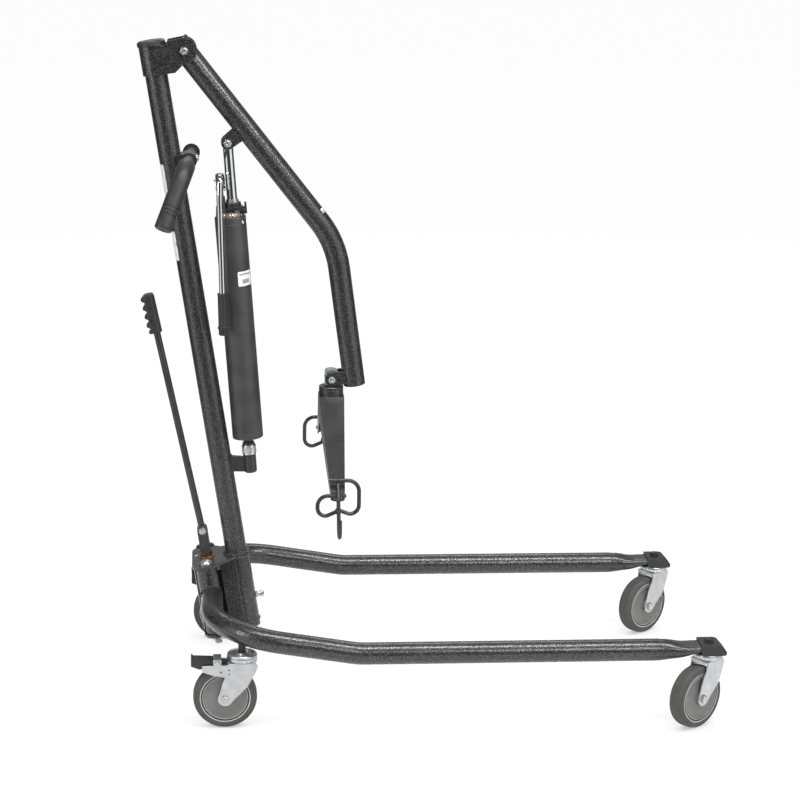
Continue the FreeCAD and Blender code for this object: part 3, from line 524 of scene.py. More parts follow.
def darken_washers(node, centre, radius):
    """Black paint on faces that reach beyond a radius from a bolt's axis along Y."""
    mesh = NODES[node].data
    mesh.materials.append(MATS["black_paint"])
    slot = len(mesh.materials) - 1
    to_world = NODES[node].matrix_world
    for face in mesh.polygons:
        reach = 0.0
        for index in face.vertices:
            offset = to_world @ mesh.vertices[index].co - centre
            offset -= Y_AXIS * offset.dot(Y_AXIS)
            reach = max(reach, offset.length)
        if reach * 1000.0 > radius:
            face.material_index = slot


dress_cad()
darken_washers("boom_pivot_bolt", world(BOOM_PIVOT), 8.75)
darken_washers("jack_bolt_ends", world(JACK_PIN), 8.75)
darken_washers("hanger_pin", world(HANGER_PIN), 8.4)


# ------------------------------------------------------------------ mesh builders
# Places are in metres; radii, heights and other sizes in millimetres.
def finish_mesh(name, bm, material, body, slot=None, angle=30):
    """Object from bm, riding on body, with edges above the angle (degrees) kept sharp."""
    mesh = bpy.data.meshes.new(name)
    bmesh.ops.recalc_face_normals(bm, faces=bm.faces)
    bm.to_mesh(mesh)
    bm.free()
    for face in mesh.polygons:
        face.use_smooth = True
    mesh.set_sharp_from_angle(angle=math.radians(angle))
    obj = bpy.data.objects.new(name, mesh)
    bpy.context.scene.collection.objects.link(obj)
    mesh.materials.append(MATS[material])
    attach(obj, body)


def basis(axis):
    """Unit axis and two unit vectors across it."""
    along = Vector(axis).normalized()
    helper = Vector((1, 0, 0)) if abs(along.x) < 0.8 else Vector((0, 1, 0))
    side = along.cross(helper).normalized()
    return along, side, along.cross(side).normalized()


def spoke(side, other, k, count):
    """Direction of step k of count round a circle."""
    angle = 2 * math.pi * k / count
    return side * math.cos(angle) + other * math.sin(angle)


def bridge(bm, first, second):
    """Quads between two closed rings of vertices."""
    count = len(first)
    for k in range(count):
        after = (k + 1) % count
        bm.faces.new((first[k], first[after], second[after], second[k]))


def lathe_bm(bm, profile, origin, axis, segs, closed=False):
    """Turns a profile of (radius, height) about the axis; closed joins last to first."""
    along, side, other = basis(axis)
    rings = []
    for radius, height in profile:
        centre = origin + along * (height / 1000.0)
        if radius < 1e-6:
            rings.append([bm.verts.new(centre)])
        else:
            rings.append([bm.verts.new(centre + spoke(side, other, k, segs) * (radius / 1000.0))
                          for k in range(segs)])
    pairs = list(zip(rings[:-1], rings[1:])) + ([(rings[-1], rings[0])] if closed else [])
    for first, second in pairs:
        if len(first) > 1 and len(second) > 1:
            bridge(bm, first, second)
            continue
        for k in range(segs):
            after = (k + 1) % segs
            if len(first) == 1:
                bm.faces.new((first[0], second[k], second[after]))
            else:
                bm.faces.new((first[k], first[after], second[0]))
    return bm


def lathe(name, profile, origin, axis, material, body, segs, closed=False, slot=None,
          angle=30):
    bm = lathe_bm(bmesh.new(), profile, origin, axis, segs, closed)
    finish_mesh(name, bm, material, body, slot, angle)


def oval(radius, height, half_wide, half_high, count):
    """Closed oval profile for a ring."""
    angles = [2 * math.pi * k / count for k in range(count)]
    return [(radius + half_wide * math.cos(angle), height + half_high * math.sin(angle))
            for angle in angles]


def mirrored(profile):
    """A profile followed by its reflection in height 0."""
    return profile + [(radius, -height) for radius, height in reversed(profile)]


def cut_corners(points):
    """Corner cutting on an open profile, ends kept."""
    cut = [points[0]]
    for first, second in zip(points[:-1], points[1:]):
        for near, far in ((0.75, 0.25), (0.25, 0.75)):
            cut.append((first[0] * near + second[0] * far, first[1] * near + second[1] * far))
    cut.append(points[-1])
    return cut


def sweep_bm(path, radii, segs, closed=False):
    """Tube along a path; here the radii are in metres."""
    bm = bmesh.new()
    count = len(path)
    side = None
    rings = []
    for i, point in enumerate(path):
        if closed:
            along = path[(i + 1) % count] - path[i - 1]
        else:
            along = path[min(i + 1, count - 1)] - path[max(i - 1, 0)]
        along.normalize()
        if side is None:
            side = basis(along)[1]
        side = (side - along * side.dot(along)).normalized()
        other = along.cross(side)
        rings.append([bm.verts.new(point + spoke(side, other, k, segs) * radii[i])
                      for k in range(segs)])
    for i in range(count if closed else count - 1):
        bridge(bm, rings[i], rings[(i + 1) % count])
    if not closed:
        bm.faces.new(list(reversed(rings[0])))
        bm.faces.new(rings[-1])
    return bm


def resample(points, step, closed):
    """Points a fixed step (metres) apart along a path."""
    source = list(points) + ([points[0]] if closed else [])
    result = [source[0].copy()]
    carry = 0.0
    for start, end in zip(source[:-1], source[1:]):
        length = (end - start).length
        if length < 1e-9:
            continue
        reach = step - carry
        while reach <= length:
            result.append(start.lerp(end, reach / length))
            reach += step
        carry = length - (reach - step)
    if closed and (result[-1] - result[0]).length < step * 0.6:
        result.pop()
    elif not closed:
        result.append(source[-1].copy())
    return result


RIPPLE_PITCH = 1.9
RIPPLE_STEPS = 5        # rings in each ripple


def bead(name, path, radius, body, seed, material="hammertone", closed=False):
    """Weld bead: a rope of overlapping ripples, tapered at open ends."""
    path = resample(path, RIPPLE_PITCH / 1000.0 / RIPPLE_STEPS, closed)
    if len(path) < 8:
        return
    radii = []
    for i in range(len(path)):
        phase = (i % RIPPLE_STEPS) / RIPPLE_STEPS
        ripple = 0.84 + 0.26 * math.sqrt(max(0.0, math.sin(math.pi * phase)))
        wobble = 0.10 * math.sin(i * 0.37 + seed) + 0.06 * math.sin(i * 0.339 + seed * 2.1)
        from_end = min(i, len(path) - 1 - i)
        taper = 1.0 if closed else min(1.0, 0.35 + 0.65 * from_end / 6.0)
        radii.append(radius / 1000.0 * (ripple + wobble) * taper)
    finish_mesh(name, sweep_bm(path, radii, 10, closed), material, body, material, 60)


@cache
def tree(node):
    mesh = NODES[node].data
    return BVHTree.FromPolygons([vert.co.copy() for vert in mesh.vertices],
                                [tuple(face.vertices) for face in mesh.polygons])


def hits(node, starts, direction, reach):
    """Where rays (reach in metres) meet the node; None where they miss."""
    heading = direction.normalized()
    return [tree(node).ray_cast(start, heading, reach)[0] for start in starts]


def runs(points, closed=False):
    """Stretches of more than three hits in a row, each with whether it closes up."""
    if all(point is not None for point in points):
        return [(points, closed)]
    count = len(points)
    start = next(i for i in range(count) if points[i] is None)
    result = []
    current = []
    for k in range(1, count + 1):
        point = points[(start + k) % count]
        if point is not None:
            current.append(point)
            continue
        if len(current) > 3:
            result.append((current, False))
        current = []
    return result


def circle(centre, axis, radius, count):
    _, side, other = basis(axis)
    return [centre + spoke(side, other, k, count) * (radius / 1000.0) for k in range(count)]


def wrap_plate(name, centre, axis, facing, radius, half_arc, half_high, thick, corner,
               material, body):
    """Thin plate with round corners, wrapped on a cylinder; facing points out of its middle."""
    along = axis.normalized()
    out = (facing - along * facing.dot(along)).normalized()
    side = along.cross(out)
    bm = bmesh.new()
    columns, rows = 14, 8
    grid = {}

    def pull_in(x, y):
        over_x = abs(x) - (half_arc - corner)
        over_y = abs(y) - (half_high - corner)
        length = math.hypot(over_x, over_y)
        if over_x > 0 and over_y > 0 and length > corner:
            x = math.copysign(half_arc - corner + over_x / length * corner, x)
            y = math.copysign(half_high - corner + over_y / length * corner, y)
        return x, y

    for layer, lift in ((0, 0.02), (1, thick)):
        for i in range(columns + 1):
            for j in range(rows + 1):
                x, y = pull_in(half_arc * (2 * i / columns - 1), half_high * (2 * j / rows - 1))
                angle = x / radius
                outward = out * math.cos(angle) + side * math.sin(angle)
                grid[layer, i, j] = bm.verts.new(
                    centre + along * (y / 1000.0) + outward * ((radius + lift) / 1000.0))
    for i in range(columns):
        for j in range(rows):
            for layer in (0, 1):
                quad = (grid[layer, i, j], grid[layer, i + 1, j],
                        grid[layer, i + 1, j + 1], grid[layer, i, j + 1])
                bm.faces.new(quad if layer else tuple(reversed(quad)))
    for i in range(columns):
        for j in (0, rows):
            bm.faces.new((grid[0, i, j], grid[0, i + 1, j], grid[1, i + 1, j], grid[1, i, j]))
    for j in range(rows):
        for i in (0, columns):
            bm.faces.new((grid[0, i, j], grid[0, i, j + 1], grid[1, i, j + 1], grid[1, i, j]))
    finish_mesh(name, bm, material, body, "black_plastic", 40)


def hex_bm(radius, origin, axis, corner_dir, height, chamfer):
    """Hexagonal prism with a chamfered far end; one corner points to corner_dir."""
    bm = bmesh.new()
    along = axis.normalized()
    side = (corner_dir - along * corner_dir.dot(along)).normalized()
    other = along.cross(side)
    corners = [(radius * math.cos(math.radians(60 * k)), radius * math.sin(math.radians(60 * k)))
               for k in range(6)]
    rings = []
    for level, inset in ((0.0, 0.0), (height - chamfer, 0.0), (height, chamfer)):
        ring = []
        for x, y in corners:
            length = math.hypot(x, y)
            scale = (length - inset) / length
            offset = side * (x * scale) + other * (y * scale) + along * level
            ring.append(bm.verts.new(origin + offset / 1000.0))
        rings.append(ring)
    bridge(bm, rings[0], rings[1])
    bridge(bm, rings[1], rings[2])
    bm.faces.new(list(reversed(rings[0])))
    bm.faces.new(rings[-1])
    return bm


def head_cap(name, origin, axis, flats, body, stud=0.0, height=1.1):
    """Domed top for a hex of given width across flats; a stud radius adds a threaded end."""
    radius = flats * 0.42
    # share of the radius, height
    dome = [(0, height * 0.30), (0.40, height * 0.30), (0.47, height * 0.95), (0.62, height),
            (0.82, height * 0.80), (0.95, height * 0.42), (1, 0.0), (1, -0.5), (0, -0.5)]
    bm = lathe_bm(bmesh.new(), [(radius * share, z) for share, z in dome], origin, axis, 48)
    if stud > 0:
        profile = [(0, height - 0.2), (stud * 0.9, height - 0.2)]
        z = height
        while z < height + stud * 0.75:
            profile += [(stud * 0.90, z), (stud, z + 0.30), (stud * 0.90, z + 0.60)]
            z += 0.6
        profile += [(stud * 0.82, z + 0.25), (0, z + 0.25)]
        lathe_bm(bm, profile, origin, axis, 40)
    finish_mesh(name, bm, "zinc", body, "zinc", 35)


def pan_screw(name, origin, axis, radius, body, height):
    """Pan-head screw with a round recess."""
    # share of the radius, height
    profile = [(0, height * 0.45), (0.26, height * 0.45), (0.34, height * 0.96),
               (0.55, height * 0.93), (0.80, height * 0.70), (0.96, height * 0.34),
               (1, 0.0), (1, -0.4), (0, -0.4)]
    lathe(name, [(radius * share, z) for share, z in profile], origin, axis, "zinc", body, 40,
          slot="zinc", angle=40)


def rounded_block(name, x_span, y_span, z_span, place, material, body, round_off, slot=None):
    """Block with softened edges; place turns its local millimetres into metres."""
    bm = bmesh.new()
    verts = [bm.verts.new(Vector((x, y, z))) for x in x_span for y in y_span for z in z_span]
    for quad in ((0, 1, 3, 2), (4, 6, 7, 5), (0, 4, 5, 1), (2, 3, 7, 6), (0, 2, 6, 4),
                 (1, 5, 7, 3)):
        bm.faces.new([verts[i] for i in quad])
    bmesh.ops.recalc_face_normals(bm, faces=bm.faces)
    bmesh.ops.bevel(bm, geom=list(bm.edges), offset=round_off, segments=3, affect="EDGES",
                    profile=0.6)
    for vert in bm.verts:
        vert.co = place(vert.co.x, vert.co.y, vert.co.z)
    finish_mesh(name, bm, material, body, slot, 35)


# ------------------------------------------------------------------ wheels and casters
TYRE_HALF_WIDTH = 16.0
TYRE_SEAT_R = 46.9
# Tyre side, from the hub outwards: radius, depth below the widest plane
TYRE_SIDE = [
    (47.0, 1.8), (47.9, 1.1), (49.2, 0.45), (51.6, 0.05), (55.4, 0.15), (56.2, 0.35),
    (56.6, 0.95), (57.4, 0.95), (57.9, 0.62), (60.2, 1.6), (61.8, 3.0), (62.85, 5.2),
    (63.3, 7.6),
]
# Half of the hub, from the bore along boss and dished web to the rim: radius, height
HUB_HALF = [
    (5.06, 18.5), (9.6, 18.5), (10.6, 18.1), (11.2, 17.2), (11.6, 14.6), (12.4, 13.7),
    (14.5, 13.35), (34.0, 12.55), (35.2, 12.5), (36.0, 12.75), (36.6, 13.1), (41.6, 13.2),
    (42.4, 13.4), (43.0, 14.2), (43.6, 14.9), (44.6, 15.1), (45.4, 14.9), (45.7, 14.0),
    (45.9, 12.6), (TYRE_SEAT_R, 12.6),
]
# Near-black ring filling the gap between hub rim and tyre, painted shade: radius, height
RIM_GAP_SHADE = [(45.9, 13.0), (47.3, 13.0), (47.4, 14.3), (46.9, 14.55), (46.0, 14.1)]
BEARING_SHIELD = [(5.4, 18.4), (8.9, 18.4), (9.2, 18.75), (8.6, 18.95), (5.8, 18.95),
                  (5.4, 18.7)]


def tyre_profile(outer):
    """Closed section with a fine groove round the middle of the tread."""
    half = [(radius, TYRE_HALF_WIDTH - depth) for radius, depth in TYRE_SIDE + [(outer, 10.0)]]
    groove = [(outer, 0.9), (outer - 0.02, 0.35), (outer - 0.28, 0.18)]
    seat = TYRE_HALF_WIDTH - 2.2
    return mirrored(cut_corners(half) + groove) + [(TYRE_SEAT_R, -seat), (TYRE_SEAT_R, seat)]


def wheel(tag, centre, axis):
    """Tyre and hub stand for their CAD pieces; rings and shields go on both faces."""
    body = "wheel_" + tag
    low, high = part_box("caster_%s_tyre" % tag)
    outer = (high.z - low.z) / 2 * 1000.0
    for part, profile, angle in (("tyre", tyre_profile(outer), 50),
                                 ("hub", mirrored(HUB_HALF), 40)):
        name = "%s_%s" % (part, tag)
        lathe(name, profile, centre, axis, part, body, 128, True, part, angle)
        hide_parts("caster_%s_%s" % (tag, part))
    for sign, face in ((1, "a"), (-1, "b")):
        gap = [(radius, sign * height) for radius, height in RIM_GAP_SHADE]
        shield = [(radius, sign * height) for radius, height in BEARING_SHIELD]
        # name, profile, material, segments, slot
        for part, profile, material, segs, slot in (
                # The rim gap ring is painted shade between hub rim and tyre
                ("rim_gap_shade", gap, "near_black_and_shade", 128, "hub"),
                ("rim_ring", oval(44.6, sign * 15.05, 0.45, 0.45, 8), "pale_ring_and_reflection", 128, "hub"),
                ("tyre_ring", oval(49.4, sign * 15.62, 1.0, sign * 0.42, 10), "pale_ring_and_reflection",
                 128, "tyre"),
                ("bearing_shield", shield, "zinc", 64, "zinc")):
            lathe("%s_%s_%s" % (part, tag, face), profile, centre, axis, material, body, segs,
                  True, slot)


def caster(end, side):
    tag = "%s_%s" % (end, side)
    fork = "caster_" + tag
    spin = JOINT["wheel_%s_spin" % tag]
    centre = Vector(spin["pos_m"])
    axis = Vector(spin["axis"])
    wheel(tag, centre, axis)
    swivel = Vector(JOINT["%s_swivel" % fork]["pos_m"])
    head_cap("axle_head_" + tag, centre - axis * 0.0275, -axis, 14.0, fork, height=1.0)
    # Rings round the swivel race, at heights above the design's floor
    floor_point = Vector((swivel.x, swivel.y, SHIFT.z / 1000.0))
    rings = [("race_seal", oval(29.9, 143.4, 0.5, 0.5, 10), "near_black_and_shade"),
             ("race_rim", oval(29.9, 138.6, 0.45, 0.45, 10), "zinc")]
    if end == "rear":
        rings.append(("race_lip", oval(18.4, 150.3, 1.2, 0.6, 12), "zinc"))
    for part, profile, material in rings:
        lathe("%s_%s" % (part, tag), profile, floor_point, Z_AXIS, material, fork, 96, True,
              "zinc")


for end in ("rear", "front"):
    for side in ("left", "right"):
        caster(end, side)

# ------------------------------------------------------------------ welds and base bracket
PIVOT_TUBE_R = 21.0


def weld_leg(side, sign):
    """Bead where a leg tube meets its pivot tube."""
    outward = Vector((-3.5, 234.0 * sign, 1.0)).normalized()
    centre = world(Vector((-22.5, sign * LEG_PIVOT_Y, 198.0)) + outward * 60.0)
    ring = circle(centre, outward, TUBE_R + 1.0, 180)
    pivot = mast(LEG_PIVOT_X, sign * LEG_PIVOT_Y, 198.0)
    found = []
    for point in hits("leg_%s_tube" % side, ring, -outward, 0.08):
        if point is not None:
            offset = point - pivot
            offset -= MAST_UP * offset.dot(MAST_UP)
            if abs(offset.length - PIVOT_TUBE_R / 1000.0) >= 0.0015:
                point = None
        found.append(point)
    for i, (run, closed) in enumerate(runs(found, closed=True)):
        bead("weld_leg_%s_%d" % (side, i), run, 2.3, "leg_" + side, seed=3 + i, closed=closed)


for side, sign in SIDES:
    weld_leg(side, sign)

# Mast socket to the plates above and below
for z, tag in ((281.0, "top"), (273.2, "under"), (130.8, "low")):
    bead("weld_socket_" + tag, circle(mast(0, 0, z), MAST_UP, 25.5, 120), 1.9, "mast_frame",
         seed=7, closed=True)

WEB_TOP = 273.6
WEB_LOW = 130.6
for _, sign in SIDES:
    for name, z, seed in (("weld_web", WEB_TOP, 9), ("weld_weblow", WEB_LOW, 11)):
        path = [mast(x, sign * 25.6, z) for x in steps(-37.0, 33, 20)]
        bead("%s_%d" % (name, sign > 0), path, 1.5, "mast_frame", seed=seed + sign)
    # Pale thin tube along each edge of the upright back plate: painted reflection of the white
    # surroundings at a grazing angle
    path = [mast(-91.0, sign * 22.0, z) for z in steps(131, 142, 70)]
    finish_mesh("back_plate_painted_reflection_%d" % (sign > 0), sweep_bm(path, [0.0011] * len(path), 10),
                "pale_ring_and_reflection", "mast_frame", "zinc", 60)
for name, z, seed in (("weld_back_top", WEB_TOP, 15), ("weld_back_low", WEB_LOW, 16)):
    bead(name, [mast(-91.4, y, z) for y in steps(-21, 42, 20)], 1.5, "mast_frame", seed=seed)

# Thin near-black panel inside the base bracket, between the pivot tubes: painted shade filling
# the view through the gap beside each pivot tube
rounded_block("bracket_shade_panel", (-87.2, -24.8), (-1.6, 1.6), (129.5, 246.0), mast, "near_black_and_shade",
              "mast_frame", 0.5, "hammertone")
rounded_block("back_bumper", (-98.2, -91.2), (-9.0, 15.0), (232.0, 258.0), mast, "near_black_and_shade",
              "mast_frame", 1.5, "black_plastic")


def weld_seat():
    """Jack seat arm onto the mast: up one side, over the top and down the other."""
    half = 5.6
    outline = [(half, z) for z in steps(449, 35, 12)]
    outline += [(y, 484.2) for y in steps(half, -2 * half, 6)[1:-1]]
    outline += [(-half, z) for z in steps(484, -35, 12)]
    starts = [world(Vector((46.0, y, z))) for y, z in outline]
    found = hits("mast_tube", starts, Vector((-1, 0, 0)), 0.12)
    for i, (run, _) in enumerate(runs(found)):
        bead("weld_seat_%d" % i, run, 1.9, "mast_frame", seed=21 + i, material="black_paint")


def weld_lugs(tag, pin, bend, along, half_length):
    """A pair of lugs onto the boom: beads along each lug and across its two ends."""
    foot = bend + along * ((pin - bend).dot(along))
    inward = (foot - pin).normalized()
    start = pin + inward * ((foot - pin).length - 34.0)

    def cast(points):
        return hits("boom_tube", [world(point) for point in points], inward, 0.05)

    for sign, lug in ((1, "l"), (-1, "r")):
        found = cast([start + along * reach + Y_AXIS * (sign * 17.7)
                      for reach in steps(-half_length, 2 * half_length, 24)])
        for i, (run, _) in enumerate(runs(found)):
            bead("weld_%s_%s_%d" % (tag, lug, i), run, 1.8, "boom", seed=31 + i)
        for end, letter in ((-1, "a"), (1, "b")):
            found = cast([start + along * (end * (half_length + 0.5)) + Y_AXIS * (sign * y)
                          for y in steps(12.4, 5.0, 8)])
            found = [point for point in found if point is not None]
            if len(found) > 3:
                bead("weld_%s_%s_%s" % (tag, lug, letter), found, 1.6, "boom", seed=41)


weld_seat()
weld_lugs("jacklug", JACK_PIN, BOOM_PIVOT, UPPER_DIR, 16.0)
weld_lugs("hanglug", HANGER_PIN, BOOM_BEND, LOWER_DIR, 13.5)

# ------------------------------------------------------------------ bolt heads and nuts
JACK_BOLT_Y = 24.5
CRADLE_NUT_DROP = 49.3      # below the hanger pin
CRADLE_NUT = Vector((HANGER_PIN.x, 0, HANGER_PIN.z - CRADLE_NUT_DROP))
# name, place, outward axis, width across flats, body, stud radius (0 for none), dome height
CAPS = (
    ("boom_bolt_head", mast(61.85, -33.4, 1317.35), -Y_AXIS, 15.0, "mast_frame", 0, 1.1),
    ("boom_bolt_nut", mast(61.85, 35.4, 1317.35), Y_AXIS, 15.0, "mast_frame", 5.6, 1.1),
    ("jack_bolt_cap_r", world(JACK_PIN - Y_AXIS * JACK_BOLT_Y), -Y_AXIS, 15.0, "boom", 0, 1.1),
    ("jack_bolt_cap_l", world(JACK_PIN + Y_AXIS * JACK_BOLT_Y), Y_AXIS, 15.0, "boom", 4.6, 1.1),
    ("hanger_bolt_head", world(HANGER_PIN - Y_AXIS * 24.0), -Y_AXIS, 14.0, "boom", 0, 1.1),
    ("hanger_bolt_nut", world(HANGER_PIN + Y_AXIS * 25.5), Y_AXIS, 14.0, "boom", 4.6, 1.1),
    ("shifter_bolt_head", mast(-62.0, -19.0, 339.0), -Y_AXIS, 11.0, "shifter_post", 0, 0.9),
    ("shifter_bolt_nut", mast(-62.0, 18.5, 339.0), Y_AXIS, 11.0, "shifter_post", 3.6, 0.9),
    ("pivot_nut_r", mast(LEG_PIVOT_X, -LEG_PIVOT_Y, 113.0), -MAST_UP, 19.0, "mast_frame",
     7.2, 1.1),
    ("pivot_nut_l", mast(LEG_PIVOT_X, LEG_PIVOT_Y, 113.0), -MAST_UP, 19.0, "mast_frame",
     7.2, 1.1),
    ("cradle_nut_cap", world(CRADLE_NUT), -Z_AXIS, 24.0, "hanger", 7.4, 1.1),
)
for cap in CAPS:
    head_cap(*cap)
pan_screw("bracket_screw", mast(-84.0, 14.0, 279.6), MAST_UP, 4.2, "mast_frame", height=2.4)

# ------------------------------------------------------------------ pump on the jack
# Rings round the cylinder: radius, height up the jack
GLAND = [(27.25, 498.15), (28.1, 498.4), (28.3, 499.2), (28.3, 503.4), (27.9, 504.2),
         (27.25, 504.4)]
BRASS_RING = [(27.25, 504.5), (27.75, 504.6), (27.9, 505.0), (27.9, 506.2), (27.7, 506.7),
              (27.25, 506.8)]
# Plugs: degrees from the jack's +X side towards +Y, hex radius, material
PLUGS = ((-118, 3.2, "bronze"), (-92, 4.4, "zinc"), (-62, 3.6, "bronze"), (-38, 3.0, "zinc"))
# Pin with a head at each end: radius, height
YOKE_PIN = [(0, -1.9), (2.6, -1.9), (3.0, -1.5), (3.0, -0.2), (2.0, 0.0), (2.0, 20.3),
            (3.0, 20.35), (3.0, 20.9), (2.7, 21.1), (0, 21.1)]


def jack_side(degrees, radius, height):
    """A place on the side of the jack and its outward direction."""
    across = math.cos(math.radians(degrees))
    along_y = math.sin(math.radians(degrees))
    return jack(radius * across, radius * along_y, height), JACK_FORE * across + Y_AXIS * along_y


lathe("pump_gland", GLAND, jack(0, 0, 0), JACK_UP, "chrome", "jack", 96, True, "chrome")
lathe("pump_brass_ring", BRASS_RING, jack(0, 0, 0), JACK_UP, "bronze", "jack", 96, True,
      "bronze")
for k, (degrees, radius, material) in enumerate(PLUGS):
    place, outward = jack_side(degrees, 27.6, 501.3)
    bm = hex_bm(radius, place, outward, JACK_UP, height=2.6, chamfer=0.5)
    button = [(0, 3.2), (radius * 0.42, 3.2), (radius * 0.52, 2.9), (radius * 0.56, 2.3),
              (0, 2.3)]
    lathe_bm(bm, button, place, outward, 24)
    finish_mesh("pump_plug_%d" % k, bm, material, "jack", material)
place, outward = jack_side(-40, 31.4, 486.0)
pan_screw("cylinder_screw", place, outward, 3.6, "jack", height=1.8)
rounded_block("pump_clamp_ear", (15.0, 30.0), (-22.6, -19.2), (509.0, 519.0), jack,
              "black_paint", "jack", 1.0, "black_paint")
lathe("yoke_top_pin", YOKE_PIN, jack(-25.1, -14.0, 573.5), JACK_FORE, "zinc", "pump_lever", 32)

# ------------------------------------------------------------------ shifter cross bolt
CROSS_Y = -0.5
CROSS_Z = 303.0
# Radius, height
CROSS_PIN = [(0, 0.0), (2.4, 0.0), (2.9, 0.5), (2.9, 37.0), (2.4, 37.6), (0, 37.6)]
lathe("shifter_cross_pin", CROSS_PIN, mast(-80.8, CROSS_Y, CROSS_Z), MAST_FORE, "near_black_and_shade",
      "shifter_post", 32, slot="black_paint")
for name, x, outward, height in (("shifter_cross_nut", -50.6, MAST_FORE, 4.2),
                                 ("shifter_cross_head", -73.6, -MAST_FORE, 3.8)):
    bm = hex_bm(5.6, mast(x, CROSS_Y, CROSS_Z), outward, MAST_UP, height=height, chamfer=0.7)
    finish_mesh(name, bm, "black_paint", "shifter_post", "black_paint")

# ------------------------------------------------------------------ pedals
CLIP_X = (-57.0, -41.0)
CLIP_HALF_Y = 18.9


def pedal(side):
    """Clip folded over the neck, and ribs across the sloping tread."""
    pivot = Vector(JOINT["pedal_%s_press" % side]["pos_m"]) * 1000.0
    body = "pedal_" + side

    def place(x, y, z):
        """Caster frame, where the pedal pivots at (-50, 0, 131)."""
        return Vector((pivot.x + (x + 50.0), pivot.y + y, pivot.z + (z - 131.0))) / 1000.0

    rounded_block("pedal_clip_top_" + side, CLIP_X, (-CLIP_HALF_Y, CLIP_HALF_Y),
                  (137.1, 139.6), place, "zinc", body, 0.8, "zinc")
    for sign, tag in ((-1, "a"), (1, "b")):
        y = sign * CLIP_HALF_Y
        rounded_block("pedal_clip_side_%s_%s" % (side, tag), CLIP_X, (y - 0.5, y + 0.5),
                      (124.0, 139.4), place, "zinc", body, 0.35, "zinc")
    for k in range(8):
        x = -94.0 + k * 4.2
        tread = 138.45 - (x + 97.0) * 1.7 / 39.0
        rounded_block("pedal_rib_%s_%d" % (side, k), (x - 0.9, x + 0.9), (-15.5, 15.5),
                      (tread - 0.4, tread + 0.9), place, "black_plastic", body, 0.35)


pedal("left")
pedal("right")

# ------------------------------------------------------------------ blank labels
MAST_FACING = -MAST_FORE * 0.989 - Y_AXIS * 0.145
MARK_FACING = -MAST_FORE * 0.70 - Y_AXIS * 0.71
JACK_FACING = JACK_FORE * 0.68 - Y_AXIS * 0.73
BOOM_FACING = Vector((UPPER_DIR.z, 0, -UPPER_DIR.x)) * -0.90 - Y_AXIS * 0.43
PRINT_R = JACK_R + 0.12     # printed areas on the jack label
# name, centre on the cylinder's axis, axis, facing,
#     cylinder radius, half arc, half height, thickness, corner radius, material, body
LABELS = (
    ("mast_label_upper", mast(0, 0, 1070.0), MAST_UP, MAST_FACING,
     TUBE_R, 15.0, 32.0, 0.16, 2.0, "label", "mast_frame"),
    ("mast_label_lower", mast(0, 0, 936.0), MAST_UP, MAST_FACING,
     TUBE_R, 15.0, 30.0, 0.16, 2.0, "label", "mast_frame"),
    ("mast_label_mark", mast(0, 0, 941.0), MAST_UP, MARK_FACING,
     22.34, 2.0, 2.2, 0.12, 0.6, "red", "mast_frame"),
    ("jack_label", jack(0, 0, 373.0), JACK_UP, JACK_FACING,
     JACK_R, 18.0, 15.0, 0.16, 2.0, "label", "jack"),
    ("jack_label_band", jack(0, 0, 382.0), JACK_UP, JACK_FACING,
     PRINT_R, 15.0, 1.6, 0.14, 0.5, "label_grey", "jack"),
    ("jack_label_block", jack(0, 0, 367.5), JACK_UP, JACK_FACING,
     PRINT_R, 9.0, 4.5, 0.14, 0.5, "label_grey", "jack"),
    ("boom_label", world(BOOM_BEND - UPPER_DIR * 69.0), -UPPER_DIR, BOOM_FACING,
     TUBE_R, 5.5, 5.0, 0.16, 0.8, "label", "boom"),
    ("boom_label_band", world(BOOM_BEND - UPPER_DIR * 67.0), -UPPER_DIR, BOOM_FACING,
     22.36, 4.6, 1.4, 0.12, 0.4, "red", "boom"),
)
for label in LABELS:
    wrap_plate(*label)

# ------------------------------------------------------------------ floor
REFLECTION_STRENGTH = 0.85
# Upright light and dark panels: compass position (0.5 is -Y, more is towards +X), brightness
STUDIO_BANDS = [
    (0.0, 0.40), (0.08, 0.28), (0.16, 0.05), (0.245, 0.04), (0.285, 1.20), (0.37, 1.10),
    (0.41, 0.10), (0.52, 0.05), (0.565, 0.09), (0.60, 1.40), (0.70, 1.30), (0.735, 0.06),
    (0.83, 0.04), (0.90, 0.28), (1.0, 0.40),
]


def studio_bands(net, x, y):
    turn = net.calc("DIVIDE", net.calc("ARCTAN2", x, net.times(y, -1.0)), math.pi)
    return net.ramp(net.add(net.times(turn, 0.5), 0.5), STUDIO_BANDS)


